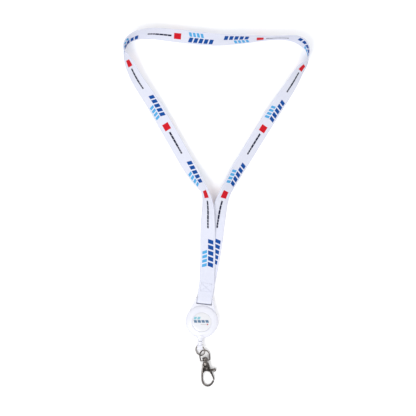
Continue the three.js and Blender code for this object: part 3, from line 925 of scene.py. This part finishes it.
@dataclass
class NeckStrap:
    """One length of webbing: folded round the reel's bar, round the neck and back to the joint."""

    width: float = 15.0
    thickness: float = 0.86
    steps: int = 12
    columns: int = 24
    selvedge: float = 0.42
    play: float = 0.02
    reel_at: Triple = (-14.7, -114.9, 0.0)
    reel_turn: float = -7.0
    base_shift: Triple = (0.0, -0.35, 0.0)
    bar: Pair = (20.0, 2.6)
    fold_radius: float = 1.85
    # In the reel's frame: the lower layer up to the bar, the layer back from it, the other end.
    to_bar: Sequence[Triple] = ((0.2, 41.5, 0.8), (0.1, 32, 0.8), (0, 24, 0.78))
    from_bar: Sequence[Triple] = ((0.1, 23.5, 4.2), (0.2, 29.5, 3.2), (0.4, 40, 3.15))
    other_end: Sequence[Triple] = ((0.9, 40, 2), (0.9, 33, 2), (0.6, 25.5, 2.1))
    stitch_half: Pair = (5.6, 4.2)
    stitch_middle: float = 34.8
    stitch_length: float = 2.3
    stitch_gap: float = 0.08
    stitch_points: int = 7
    # The middle of the print lies behind the neck, beyond this y and at this x.
    neck_y: float = 160.0
    print_middle_x: float = 2.2
    # How unevenly the print lies: distance along the strap, and distance along the print.
    registration: Sequence[Pair] = (
        (-420.0, -410.0), (-348.4, -339.0), (-319.4, -313.0), (-273.0, -273.0),
        (-193.5, -196.0), (-119.0, -119.0), (0.0, 0.0), (42.0, 42.0), (115.5, 119.0),
        (188.5, 196.0), (266.0, 273.0), (312.5, 313.0), (338.5, 339.0), (380.0, 380.0),
    )
    route: Sequence[tuple[float, float, float, float]] = field(default_factory=lambda: (
        (-9.2, -65.1, 2.2, 0), (-8.6, -49.1, 1.65, 0), (-8.6, -31.1, 1.65, 0),
        (-8.6, -13.6, 3.05, -20), (-8.4, -1.6, 4.8, -35), (-9.2, 8.9, 6.1, -50),
        (-12.1, 18.4, 6.8, -60), (-16.5, 25.1, 6.25, -52), (-21.8, 32.9, 4.85, -36),
        (-31.5, 49.4, 3.6, -24), (-54.5, 89.9, 3.05, -20), (-66.5, 110.2, 3.6, -25),
        (-79.9, 130.4, 4.95, -37), (-87.5, 145.5, 6.15, -50), (-91.5, 154.7, 7.3, -71),
        (-93.3, 160.9, 7.55, -89), (-91, 168.5, 7.5, -101), (-83, 174.5, 7.15, -113),
        (-68, 177.2, 6.4, -126), (-41, 175.3, 5.35, -139), (-21.5, 173.2, 5, -142),
        (0.5, 171.1, 5.95, -132.5), (24, 171.3, 6.95, -117), (50.5, 172.4, 7.55, -97),
        (66.5, 172.9, 7.55, -94), (79.8, 171.8, 7.35, -107), (87.1, 168.4, 7.25, -112),
        (92.1, 162.4, 7.5, -102), (93.3, 154.5, 7.55, -90), (90.7, 147.7, 7.35, -74),
        (85, 140.7, 6.5, -56), (76.5, 126.4, 5.3, -41), (60.5, 101.9, 3.75, -26),
        (38.5, 66.9, 3.7, -25), (22.8, 40.9, 4, -28), (14, 25.4, 5.35, -40),
        (8.6, 15.4, 5.3, -40), (4.4, 3.4, 3.9, -26), (1.5, -12.6, 1.6, -8),
        (-0.7, -30.1, 0.67, 0), (-3.4, -48.1, 0.52, 0), (-6.2, -63.1, 0.6, 0),
    ))

    def from_reel(self, x: float, y: float, z: float) -> np.ndarray:
        """A point of the reel's own frame, in the strap's."""
        turn = math.radians(self.reel_turn)
        return np.array([
            self.reel_at[0] + x * math.cos(turn) - y * math.sin(turn),
            self.reel_at[1] + x * math.sin(turn) + y * math.cos(turn),
            z,
        ])

    def stations(self) -> tuple[np.ndarray, np.ndarray]:
        """Finds where the strap runs and which way its width points at each station.

        Returns:
            The stations and the directions of the width there.
        """
        turn = math.radians(self.reel_turn)
        inwards = np.array([-math.cos(turn), -math.sin(turn), 0.0])
        bar_y, bar_z = self.bar
        before = list(self.to_bar)
        for degrees in range(-90, -271, -45):
            angle = math.radians(degrees)
            before.append((
                0, bar_y + self.fold_radius * math.cos(angle),
                bar_z + self.fold_radius * math.sin(angle),
            ))
        before += self.from_bar
        points = [self.from_reel(*p) for p in before]
        points += [np.array(r[:3], float) for r in self.route]
        points += [self.from_reel(*p) for p in self.other_end]
        places = np.array(points)
        line = smooth_line(places, self.steps)
        heading = np.gradient(line, axis=0)[:: self.steps]
        widths = [inwards] * len(before)
        for (_, _, _, lean), along in zip(self.route, heading[len(before) :]):
            left = np.array([-along[1], along[0], 0.0])
            left /= np.linalg.norm(left)
            tilt = math.radians(lean)
            widths.append(left * math.cos(tilt) + np.array([0, 0, math.sin(tilt)]))
        widths += [-inwards] * len(self.other_end)
        return places, np.array(widths)

    def width_line(self, widths: np.ndarray) -> np.ndarray:
        """Blends the width's direction between stations, with an even Catmull-Rom line."""
        before, after = 2 * widths[:1] - widths[1:2], 2 * widths[-1:] - widths[-2:-1]
        padded = np.vstack([before, widths, after])
        line = []
        for i in range(len(widths) - 1):
            p0, p1, p2, p3 = padded[i : i + 4]
            line += stretch(p1, p2, (p2 - p0) / 2, (p3 - p1) / 2, self.steps)
        line.append(widths[-1])
        return np.array(line)

    def section(self) -> np.ndarray:
        """The webbing's cross-section: flat faces between rounded selvedges."""
        half, thick = self.width / 2 - self.play, self.thickness / 2
        inner = half - self.selvedge
        flat = np.linspace(-inner, inner, self.columns)
        angles = np.radians(np.arange(22.5, 180, 22.5))
        top = [(b, thick) for b in flat]
        right = [(inner + self.selvedge * math.sin(a), thick * math.cos(a)) for a in angles]
        bottom = [(b, -thick) for b in flat[::-1]]
        left = [(-b, -n) for b, n in right]
        return np.array(top + right + bottom + left)

    def build(self, maker: Maker) -> Solid:
        """Makes the strap as a swept sheet of cloth with its own length and width map."""
        places, widths = self.stations()
        line = smooth_line(places, self.steps) + np.array(self.base_shift)
        along = np.gradient(line, axis=0)
        along /= np.linalg.norm(along, axis=1)[:, None]
        side = self.width_line(widths)
        side -= (side * along).sum(1)[:, None] * along
        side /= np.linalg.norm(side, axis=1)[:, None]
        up = np.cross(along, side)
        section = self.section()
        rings = (
            line[:, None]
            + section[None, :, 0, None] * side[:, None]
            + section[None, :, 1, None] * up[:, None]
        )
        steps, count = rings.shape[:2]
        index = np.arange(steps * count).reshape(steps, count)
        faces = [
            (index[i, k], index[i, (k + 1) % count], index[i + 1, (k + 1) % count],
             index[i + 1, k])
            for i in range(steps - 1)
            for k in range(count)
        ]
        faces += [tuple(index[0, ::-1]), tuple(index[-1])]
        mesh = bpy.data.meshes.new("neck_strap")
        corners = [tuple(map(int, face)) for face in faces]
        mesh.from_pydata(rings.reshape(-1, 3).tolist(), [], corners)
        strides = np.linalg.norm(np.diff(line, axis=0), axis=1)
        travelled = np.concatenate([[0], np.cumsum(strides)])
        off_middle = np.abs(line[:, 0] - self.print_middle_x)
        behind = np.where(line[:, 1] > self.neck_y, off_middle, np.inf)
        middle = travelled[np.argmin(behind)]
        printed = np.interp(travelled - middle, *zip(*self.registration))
        self.map_cloth(mesh, section, printed, count)
        obj = bpy.data.objects.new("neck_strap", mesh)
        bpy.context.collection.objects.link(obj)
        face_out(obj)
        maker.add(obj, "strap_webbing", Matrix(), Body.STRAP, Slot.STRAP, ["neck_strap"])
        return obj

    def map_cloth(
        self, mesh: bpy.types.Mesh, section: np.ndarray, travelled: np.ndarray, count: int
    ) -> None:
        """Stores each point's place on the cloth, and which face of the cloth it is on.

        Args:
            mesh: The strap's mesh.
            section: The cross-section's points.
            travelled: The print's own place along the strap at each step, in millimetres.
            count: How many points a ring has.
        """
        layer = mesh.uv_layers.new(name="strap")
        corners = np.empty(len(mesh.loops), dtype=np.int32)
        mesh.loops.foreach_get("vertex_index", corners)
        places = np.stack([section[corners % count, 0], travelled[corners // count]], 1)
        layer.data.foreach_set("uv", places.astype(np.float32).ravel())
        side = mesh.attributes.new("strap_side", "FLOAT", "POINT")
        values = np.tile(np.sign(section[:, 1]), len(travelled))
        side.data.foreach_set("value", values.astype(np.float32))

    def stitch_paths(self, height: float, dip: float) -> list[np.ndarray]:
        """Lays out the stitches of the sewn box and its cross.

        Args:
            height: How high the middle of each stitch lies.
            dip: How far its ends go into the cloth.

        Returns:
            One short path for each stitch, in the reel's frame.
        """
        x, y = self.stitch_half
        count, gap = self.stitch_points, self.stitch_gap
        middle = np.tile([0, self.stitch_middle], (count, 1))
        arch = height - dip * np.abs(np.linspace(-1, 1, count)) ** 3
        corners = [(-x, -y), (x, -y), (x, y), (-x, y)]
        runs = [(corners[i], corners[(i + 1) % 4]) for i in range(4)]
        runs += [(corners[0], corners[2]), (corners[3], corners[1])]
        paths = []
        for start, end in runs:
            a, b = np.array(start), np.array(end)
            number = round(np.linalg.norm(b - a) / self.stitch_length)
            for i in range(number):
                first = a + (b - a) * (i + gap) / number
                last = a + (b - a) * (i + 1 - gap) / number
                ends = np.linspace(first, last, count)
                paths.append(np.column_stack([ends + middle, arch]))
        return paths

    def build_stitches(self, maker: Maker) -> None:
        """Makes the rows of stitches on both faces of the joint."""
        faces = (("front", 3.82, 0.2, 0.19), ("back", 0.19, -0.12, 0.15))
        for face, height, dip, radius in faces:
            rows = swept(self.stitch_paths(height, dip), radius, 8)
            maker.add(rows, f"stitches_{face}", self.reel_frame(), Body.STRAP, Slot.THREAD,
                      [f"stitching_{face}"], 60)

    def reel_frame(self) -> Matrix:
        """Where the reel's own frame lies, in metres."""
        place = (Vector(self.reel_at) + Vector(self.base_shift)) * 0.001
        return Matrix.Translation(place) @ Matrix.Rotation(math.radians(self.reel_turn), 4, "Z")


# ---------------------------------------------------------------- reel


@dataclass
class CordReel:
    """The round retracting reel: two shells, a domed label, the spool and its wound cord."""

    frame: Matrix
    bar: Pair
    bar_radius: float = 1.1
    bar_half: float = 8.1
    bore: float = 15.3
    rear_depth: float = 4.2
    front_start: float = 4.5
    outlet_z: float = 4.35
    outlet_turn: float = 2.0
    winding_radii: Triple = (9.32, 10.11, 10.9)
    winding_heights: Pair = (3.1, 5.5)
    winding_turns: int = 4
    turn_steps: int = 64
    bracket: Sequence[Pair] = (
        (13.2, 9.9), (11.8, 14.0), (10.6, 17.2), (9.7, 20.4), (9.1, 22.8), (8.8, 23.4),
        (8.4, 23.6), (8.0, 23.4), (7.8, 22.9), (7.8, 17.42),
    )

    def outlet_frame(self) -> Matrix:
        """Turns a solid made along Z to lie along the outlet, pointing to the hook."""
        return (
            Matrix.Rotation(math.radians(self.outlet_turn), 4, "Z")
            @ Matrix.Translation((0, 0, self.outlet_z))
            @ BACK_ALONG_Y
        )

    def outlet(self, keep_low: float, keep_high: float) -> Solid:
        """The trumpet under the shell, cut to the height range of one shell."""
        trumpet = turned([
            (4.4, 13.6), (4.3, 15.6), (3.7, 16.4), (3.2, 17.0), (2.8, 17.8), (2.6, 18.6),
            (2.52, 19.1), (2.35, 19.4),
        ], 64)
        moved(trumpet, self.outlet_frame())
        return shaped(trumpet, "INTERSECT", block((-9, -25, keep_low), (9, 0, keep_high)))

    def outlet_bore(self) -> Solid:
        """The bore and groove that the guide bush sits in."""
        bore = turned([
            (1.9, 12.5), (1.9, 16.2), (2.4, 16.2), (2.4, 17.6), (1.9, 17.6), (1.9, 21)
        ], 48)
        return moved(bore, self.outlet_frame())

    def bracket_plate(self, low: float, high: float) -> Solid:
        """The two posts and the neck that joins them to the shell."""
        outline = list(self.bracket) + [(-x, y) for x, y in reversed(self.bracket)]
        return plate(np.array(outline), low, high, 0.32)

    def rear_shell(self) -> Solid:
        """The back shell, with the bar for the strap and the spool's axle."""
        disc = turned([
            (14.9, 0.0), (15.4, 0.05), (15.9, 0.22), (16.28, 0.6), (16.45, 1.1), (16.5, 1.6),
            (16.5, 3.9), (16.35, 4.1), (16.1, self.rear_depth),
        ], 128)
        ends = [(self.bar_radius, -self.bar_half), (self.bar_radius, self.bar_half)]
        bar = moved(turned(ends, 32), Matrix.Translation((0, *self.bar)) @ ALONG_X)
        shaped(disc, "UNION", self.bracket_plate(0.0, self.rear_depth), bar,
               self.outlet(0.0, self.rear_depth))
        cavity = turned([(self.bore, 1.2), (self.bore, 5.5)], 128)
        shaped(disc, "DIFFERENCE", cavity, self.outlet_bore())
        axle = turned([(2.4, 1.0), (2.0, 1.8), (2.0, 6.7), (1.7, 7.0)], 48)
        return shaped(disc, "UNION", axle)

    def front_shell(self) -> Solid:
        """The front shell: a bevelled dome with a stepped rim round the label."""
        dome = turned([
            (16.1, self.front_start), (16.35, 4.6), (16.5, 4.8), (16.5, 5.8), (16.44, 6.2),
            (16.22, 6.6), (15.8, 7.0), (15.15, 7.42), (14.3, 7.85), (13.4, 8.25), (12.5, 8.55),
            (11.7, 8.8), (11.1, 8.93), (10.7, 8.98), (10.25, 8.98), (9.95, 8.92), (9.75, 8.8),
            (9.75, 8.2),
        ], 128)
        shaped(dome, "UNION", self.bracket_plate(self.front_start, 6.0),
               self.outlet(self.front_start, 9.0))
        cavity = turned([(self.bore, 4.0), (self.bore, 5.6), (13.2, 7.4)], 128)
        return shaped(dome, "DIFFERENCE", cavity, self.outlet_bore())

    def label(self) -> Solid:
        """The domed label, low at its rim and almost flat in the middle."""
        return turned([
            (9.45, 8.5), (9.58, 8.6), (9.62, 8.72), (9.5, 8.88), (9.0, 9.0), (8.0, 9.11),
            (6.0, 9.22), (3.0, 9.27), (0.6, 9.28),
        ], 96)

    def wound_cord(self) -> Solid:
        """The cord on the hub: in each layer the turns lie side by side."""
        points = []
        low, high = self.winding_heights
        steps = self.winding_turns * self.turn_steps
        for layer, radius in enumerate(self.winding_radii):
            for step in range(steps):
                share = step / steps
                height = low + (high - low) * (share if layer % 2 == 0 else 1 - share)
                angle = 2 * math.pi * step / self.turn_steps
                points.append((radius * math.cos(angle), radius * math.sin(angle), height))
        return swept([np.array(points)], 0.37, 8)

    def knotted(self, size: float, centre: Triple) -> Solid:
        """An overhand knot in the cord, pulled tight.

        Args:
            size: The knot's radius in millimetres.
            centre: Where it sits.

        Returns:
            The knot.
        """
        turns = np.linspace(0, 2 * math.pi, 97)[:-1]
        trefoil = np.column_stack([
            np.sin(turns) + 2 * np.sin(2 * turns),
            np.cos(turns) - 2 * np.cos(2 * turns),
            -1.6 * np.sin(3 * turns),
        ])
        line = trefoil * (size * 0.62 / 3) + np.array(centre)
        return swept([line], size * 0.36, 8, closed=True)

    def build(self, maker: Maker, nodes: dict[str, Solid]) -> None:
        """Makes and dresses the reel's pieces.

        Args:
            maker: Finishes the pieces.
            nodes: The CAD nodes, by name.
        """
        pieces = (
            (self.rear_shell(), "reel_back_shell", Body.REEL, Slot.ABS, "rear_housing"),
            (self.front_shell(), "reel_front_shell", Body.REEL, Slot.ABS, "front_housing"),
            (self.label(), "reel_label", Body.REEL, Slot.LABEL, "label_disc"),
            (self.wound_cord(), "cord_turns", Body.SPOOL, Slot.CORD, "cord_winding"),
            (self.knotted(0.55, (7.05, 0, 4.45)), "cord_inner_knot", Body.SPOOL, Slot.CORD,
             "anchor_knot"),
        )
        for piece, name, body, slot, node in pieces:
            maker.add(piece, name, self.frame, body, slot, [node])
        for name in ("cord_guide", "spool_drum", "spool_lid"):
            maker.dress_node(name, nodes[name], Slot.ACETAL)
        maker.dress_node("spiral_spring", nodes["spiral_spring"], Slot.SPRING)


# ---------------------------------------------------------------- end fitting and ring


@dataclass
class EndFitting:
    """The moulded bead on the cord's end, its knot, and the short cord up to the reel."""

    centre: Triple = (-16.6, -140.45, 4.4)
    barrel_radius: float = 2.95
    barrel_half: float = 2.8
    barrel_drop: float = 0.7
    ring_hole: float = 1.9
    cord_radius: float = 0.4
    # The cord inside the reel, from the winding to the outlet, in the reel's frame.
    inside: Sequence[Pair] = (
        (9.2, -7.8), (6.2, -10.6), (3.2, -12.6), (1.6, -13.8), (0.7, -14.9), (0.57, -16.4),
        (0.67, -19.2),
    )

    def frame(self) -> Matrix:
        """Where the fitting's own frame lies, in metres."""
        return Matrix.Translation(Vector(self.centre) * 0.001)

    def bead(self) -> Solid:
        """A barrel across the cord, a collar along it, a hole for the ring and a cord bore."""
        half, radius = self.barrel_half, self.barrel_radius
        barrel = turned([
            (radius - 0.75, -half), (radius - 0.4, 0.1 - half), (radius - 0.12, 0.35 - half),
            (radius, 0.75 - half), (radius, half - 0.75), (radius - 0.12, half - 0.35),
            (radius - 0.4, half - 0.1), (radius - 0.75, half),
        ], 64)
        moved(barrel, Matrix.Translation((0, -self.barrel_drop, 0))
              @ ALONG_X)
        collar = moved(turned([
            (2.1, 1.0), (2.1, 2.9), (2.2, 3.15), (2.45, 3.35), (2.55, 3.6), (2.55, 4.7),
            (2.47, 5.0), (2.25, 5.22), (1.95, 5.3),
        ], 64), ALONG_Y)
        hole = moved(turned([
            (2.9, -4.2), (2.3, -2.9), (2.05, -2.2), (self.ring_hole, -1.6),
            (self.ring_hole, 1.6), (2.05, 2.2), (2.3, 2.9), (2.9, 4.2),
        ], 48), ALONG_X)
        bore = moved(turned([(1.45, 0.0), (1.45, 4.0), (0.8, 4.3), (0.8, 7.0)], 48), ALONG_Y)
        return shaped(shaped(barrel, "UNION", collar), "DIFFERENCE", hole, bore)

    def build(self, maker: Maker, reel: CordReel) -> None:
        """Makes and dresses the fitting's pieces.

        Args:
            maker: Finishes the pieces.
            reel: The reel that the cord comes from.
        """
        maker.add(self.bead(), "cord_bead", self.frame(), Body.CORD_END, Slot.ABS,
                  ["cord_end_bead"])
        maker.add(reel.knotted(1.0, (0, 2.9, 0)), "cord_outer_knot", self.frame(), Body.CORD_END,
                  Slot.CORD, ["cord_end_knot"])
        points = [
            (reel.frame @ Vector((x * 0.001, y * 0.001, reel.outlet_z * 0.001))) * 1000
            for x, y in self.inside
        ]
        x, y, z = self.centre
        points += [Vector((x, y + 5.0, z)), Vector((x, y + 4.2, z))]
        line = smooth_line([tuple(p) for p in points], 8)
        cord = maker.add(swept([line], self.cord_radius), "cord_lead_braid", Matrix(), None,
                         Slot.CORD, ["cord_lead"])
        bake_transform(cord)


@dataclass
class LinkRing:
    """The slightly oval jump ring between the fitting and the swivel bail."""

    fitting: Triple
    middle: Triple = (0.25, -4.27, -1.48)
    turn: Triple = (17.0, -14.0, 18.0)
    half: Pair = (4.5, 5.5)
    wire: float = 0.6
    seam: float = 5.0

    def build(self, maker: Maker) -> None:
        """Makes and dresses the ring."""
        angles = np.radians(np.linspace(180 + self.seam / 2, 540 - self.seam / 2, 144))
        line = np.column_stack([
            self.half[0] * np.cos(angles), self.half[1] * np.sin(angles), 0 * angles
        ])
        place = (Vector(self.fitting) + Vector(self.middle)) * 0.001
        frame = Matrix.Translation(place)
        for degrees, axis in zip(self.turn, "XYZ"):
            frame = frame @ Matrix.Rotation(math.radians(degrees), 4, axis)
        maker.add(swept([line], self.wire, 20), "jump_ring", frame, Body.RING, Slot.NICKEL,
                  ["link_ring"])


# ---------------------------------------------------------------- swivel hook


@dataclass
class SwivelHook:
    """The cast trigger hook: bail, swivel rivet, body and eye, gate with its pin and spring."""

    origin: Triple = (-11.35, -154.85, 3.05)
    yaw: float = 6.6
    hook_pitch: float = 4.1
    bail_pitch: float = -4.0
    bail_roll: float = 12.0
    bail_half: float = 4.9
    bail_leg: float = 5.4
    bail_rise: float = 5.0
    bail_wire: float = 0.7
    pivot: Pair = (0.6, -8.2)
    hub_radius: float = 1.85
    coil_radius: float = 1.2
    gate_half: float = 0.74
    eye_line: Sequence[Pair] = (
        (-3.4, -8.4), (-4.0, -10.6), (-4.55, -13.2), (-5.0, -16.2), (-5.25, -18.9),
        (-5.05, -21.3), (-4.3, -23.6), (-2.9, -25.2), (-1.2, -26.1), (0.8, -26.2), (2.6, -25.5),
        (4.2, -24.2), (5.3, -22.7), (6.0, -21.6),
    )
    eye_radius: Sequence[float] = (
        1.1, 1.0, 0.92, 0.9, 0.92, 0.98, 1.02, 1.04, 1.04, 1.04, 1.02, 0.98, 0.94, 0.86,
    )

    def frame(self, pitch: float, roll: float = 0.0) -> Matrix:
        """Where a frame at the swivel lies, in metres."""
        return (
            Matrix.Translation(Vector(self.origin) * 0.001)
            @ Matrix.Rotation(math.radians(self.yaw), 4, "Z")
            @ Matrix.Rotation(math.radians(pitch), 4, "X")
            @ Matrix.Rotation(math.radians(roll), 4, "Y")
        )

    def bail(self) -> Solid:
        """The horseshoe of wire and the boss that turns on the rivet."""
        half = self.bail_half
        right = [(1.7, 0.0), (3.5, 0.0), (4.45, 0.2), (4.85, 0.8), (half, 1.6), (half, 3.6)]
        arch = [
            (half * math.cos(a), self.bail_leg + self.bail_rise * math.sin(a))
            for a in np.radians(np.arange(0, 181, 15))
        ]
        points = right + arch + [(-x, y) for x, y in reversed(right)]
        line = smooth_line([(x, y, 0.0) for x, y in points], 6)
        wire = swept([line], self.bail_wire, 20)
        boss = moved(turned([(1.8, -0.6), (2.0, -0.45), (2.0, 0.45), (1.8, 0.6)], 48), ALONG_Y)
        hole = moved(turned([(1.5, -2.0), (1.5, 2.0)], 40), ALONG_Y)
        shaped(wire, "UNION", boss)
        return shaped(wire, "DIFFERENCE", hole)

    def rivet(self) -> Solid:
        """The mushroom-headed shank."""
        head = turned([
            (1.0, -4.0), (1.1, -3.9), (1.1, 1.2), (2.7, 1.2), (2.92, 1.32), (3.0, 1.55),
            (2.97, 1.95), (2.8, 2.4), (2.5, 2.8), (2.05, 3.13), (1.5, 3.35), (0.8, 3.48),
            (0.3, 3.5),
        ], 64)
        return moved(head, ALONG_Y)

    def at_pivot(self, solid: Solid) -> Solid:
        """Moves a solid that is turned about Z to the gate's pin."""
        return moved(solid, Matrix.Translation((*self.pivot, 0)))

    def body(self) -> Solid:
        """The body and open eye, cast in one."""
        outline = smooth_line([
            (-2.5, -2.7), (0.0, -2.6), (2.7, -2.7), (3.5, -3.8), (4.0, -6.8), (4.4, -9.0),
            (4.8, -11.0), (4.0, -12.3), (2.2, -11.6), (0.0, -10.9), (-2.0, -11.3), (-3.4, -12.6),
            (-4.6, -11.4), (-4.2, -9.2), (-3.8, -6.4), (-3.3, -3.8),
        ], 6, closed=True)
        cast = plate(outline, -1.9, 1.9, 0.55, 4)
        eye = smooth_line([(x, y, 0.0) for x, y in self.eye_line], 6)
        sizes = smooth_line([(r, 0.0) for r in self.eye_radius], 6)[:, 0]
        collar = moved(turned([
            (2.3, -4.6), (2.5, -3.6), (2.6, -3.0), (2.6, -1.8), (2.45, -1.45), (2.1, -1.3),
        ], 48), ALONG_Y)
        pad = smooth_line([(-2.2, -4.4), (1.9, -4.4), (2.5, -6.4), (-2.6, -6.4)], 4, closed=True)
        ridge = plate(pad, 1.5, 2.2, 0.3)
        shaped(cast, "UNION", swept([eye], list(sizes), 16), collar, ridge)
        gate_slot = block((-1.7, -14.5, -1.05), (9.0, -5.9, 1.05))
        shank_hole = moved(turned([(1.4, -4.5), (1.4, -1.0)], 32), ALONG_Y)
        shaped(cast, "DIFFERENCE", gate_slot, shank_hole)
        recast(cast, 0.1, 3)
        pin_hole = turned([(1.0, -3.0), (1.0, 3.0)], 32)
        return shaped(cast, "DIFFERENCE", self.at_pivot(pin_hole))

    def gate(self) -> Solid:
        """The gate: hub, arm down to the nose, and the thumb knob on its stem."""
        x, y = self.pivot
        hub = [
            (x + self.hub_radius * math.cos(a), y + self.hub_radius * math.sin(a))
            for a in np.radians(range(240, 59, -30))
        ]
        arm = [
            (3.0, -7.1), (4.5, -8.9), (5.4, -12.0), (6.3, -15.6), (7.0, -18.4), (7.2, -20.2),
            (6.8, -20.9), (5.9, -20.7), (5.7, -19.4), (5.0, -17.0), (4.0, -14.4), (2.9, -12.4),
            (1.4, -10.6),
        ]
        neck = [(3.8, -9.0), (5.4, -9.5), (7.4, -9.9), (7.4, -11.7), (5.6, -11.5), (4.4, -11.2)]
        low, high = -self.gate_half, self.gate_half
        lever = plate(smooth_line(hub + arm, 4, closed=True), low, high, 0.25)
        stem = plate(smooth_line(neck, 3, closed=True), low, high, 0.3)
        bpy.ops.object.select_all(action="DESELECT")
        bpy.ops.mesh.primitive_uv_sphere_add(segments=40, ring_count=24, radius=1.0)
        place, size = Matrix.Translation((8.32, -10.88, 0)), Matrix.Diagonal((1.78, 1.85, 1.5, 1))
        knob = moved(bpy.context.object, place @ size)
        shaped(lever, "UNION", stem, knob)
        recast(lever, 0.09, 3)
        bore = turned([(1.6, -3.0), (1.6, 0.0), (1.0, 0.0), (1.0, 3.0)], 32)
        return shaped(lever, "DIFFERENCE", self.at_pivot(bore))

    def pin(self) -> Solid:
        """The gate's pin, with a riveted head."""
        return self.at_pivot(turned([
            (0.55, -2.0), (0.7, -1.85), (0.7, 1.9), (0.95, 1.92), (0.95, 2.05), (0.75, 2.2),
            (0.35, 2.28),
        ], 40))

    def spring(self) -> Solid:
        """The coil that turns round the pin and shuts the gate."""
        x, y = self.pivot
        turns = np.linspace(0, 2.25 * 2 * math.pi, 90)
        coil = np.column_stack([
            x + self.coil_radius * np.cos(turns),
            y + self.coil_radius * np.sin(turns),
            -0.86 + 0.45 * turns / turns[-1],
        ])
        return swept([coil], 0.1, 8)

    def build(self, maker: Maker) -> None:
        """Makes and dresses the hook's pieces."""
        maker.add(self.bail(), "hook_bail", self.frame(self.bail_pitch, self.bail_roll),
                  Body.BAIL, Slot.NICKEL, ["swivel_bail"])
        pieces = (
            (self.rivet(), "hook_rivet", Body.HOOK, Slot.NICKEL, "swivel_rivet", 35.0),
            (self.body(), "hook_casting", Body.HOOK, Slot.NICKEL, "hook_body", 50.0),
            (self.gate(), "hook_gate", Body.GATE, Slot.NICKEL, "gate_lever", 50.0),
            (self.pin(), "hook_pin", Body.HOOK, Slot.NICKEL, "gate_pin", 35.0),
            (self.spring(), "hook_gate_spring", Body.HOOK, Slot.SPRING, "gate_spring", 35.0),
        )
        for piece, name, body, slot, node, sharp in pieces:
            maker.add(piece, name, self.frame(self.hook_pitch), body, slot, [node], sharp)


# ---------------------------------------------------------------- studio


@dataclass
class Studio:
    """A light table, a broad soft key, a fill, and the camera straight overhead."""

    camera_at: Triple = (-0.0085, 0.0001, 1.0)
    lens: float = 84.84
    # Where each area light hangs, how wide it is, and its power.
    key: tuple[Triple, float, float] = ((-0.55, -0.75, 1.1), 0.8, 9.5)
    fill: tuple[Triple, float, float] = ((0.7, 0.6, 1.2), 1.2, 4.0)
    floor_size: float = 6.0
    floor_z: float = -0.0002
    sky: float = 1.3
    # Sine of the height above the horizon, and how bright the surroundings are there. The
    # ramp's own two stops come first.
    sky_levels: Sequence[Pair] = (
        (0.0, 0.02), (1.0, 0.12), (0.3, 0.05), (0.5, 0.8), (0.86, 0.95), (0.955, 0.15),
    )

    def build_camera(self) -> None:
        """Puts the camera overhead, with the neck loop at the top of the frame."""
        data = bpy.data.cameras.new("camera")
        data.lens = self.lens
        data.sensor_width = 36.0
        data.clip_start = 0.01
        camera = bpy.data.objects.new("camera", data)
        camera.location = self.camera_at
        bpy.context.collection.objects.link(camera)
        bpy.context.scene.camera = camera

    def add_area(self, name: str, place: Triple, size: float, power: float) -> None:
        """Adds a square soft light that points at the lanyard.

        Args:
            name: The light's name.
            place: Where it hangs, in metres.
            size: The length of its sides, in metres.
            power: Its power, in watts.
        """
        data = bpy.data.lights.new(name, "AREA")
        data.energy = power
        data.size = size
        light = bpy.data.objects.new(name, data)
        light.location = place
        light.rotation_euler = Vector(place).to_track_quat("Z", "Y").to_euler()
        bpy.context.collection.objects.link(light)

    def build_sky(self) -> None:
        """Lights the scene from a bright ring of ceiling, dark round the camera and low down."""
        world = bpy.data.worlds.new("studio")
        world.use_nodes = True
        bpy.context.scene.world = world
        tree = world.node_tree
        tree.nodes.clear()
        place = add_node(tree, "TexCoord", {}, "Generated")
        height = add_node(tree, "SeparateXYZ", {0: place}, "Z")
        colour = add_node(tree, "ValToRGB", {"Fac": height}, "Color")
        ramp = colour.node.color_ramp
        ramp.interpolation = "EASE"
        stops = ramp.elements
        for index, (place, level) in enumerate(self.sky_levels):
            stop = stops[index] if index < 2 else stops.new(place)
            stop.position = place
            stop.color = (level, level, level, 1.0)
        sky = add_node(tree, "Background", {"Color": colour, "Strength": self.sky})
        add_node(tree, "OutputWorld", {"Surface": sky})

    def build_floor(self) -> None:
        """Lays the table just under the lanyard."""
        bpy.ops.object.select_all(action="DESELECT")
        bpy.ops.mesh.primitive_plane_add(size=self.floor_size, location=(0, 0, self.floor_z))
        floor = bpy.context.object
        floor.name = "light_table"
        bpy.ops.object.transform_apply(location=True)
        floor.data.materials.append(LightTable().build())

    def build(self) -> None:
        """Sets up the camera, the light and the floor."""
        self.build_camera()
        self.build_sky()
        self.build_floor()
        self.add_area("key", *self.key)
        self.add_area("fill", *self.fill)
        bpy.context.scene.view_settings.view_transform = "Standard"


def main() -> None:
    """Builds the lanyard round its frame and reports each piece."""
    logging.basicConfig(level=logging.INFO, format="%(name)s: %(message)s")
    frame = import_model()
    bpy.ops.object.select_all(action="DESELECT")
    Studio().build()
    maker = Maker({
        Slot.STRAP: PrintedWebbing().build(),
        Slot.THREAD: SewingThread().build(),
        Slot.ABS: MouldedAbs().build(),
        Slot.LABEL: DomedLabel().build(),
        Slot.ACETAL: NaturalAcetal().build(),
        Slot.CORD: BraidedNylon().build(),
        Slot.SPRING: RolledSpringSteel().build(),
        Slot.NICKEL: NickelPlate().build(),
    })
    strap = NeckStrap()
    strap.build(maker)
    strap.build_stitches(maker)
    reel = CordReel(strap.reel_frame(), strap.bar)
    reel.build(maker, frame["nodes"])
    fitting = EndFitting()
    fitting.build(maker, reel)
    LinkRing(fitting.centre).build(maker)
    SwivelHook().build(maker)


if __name__ == "__main__":
    main()
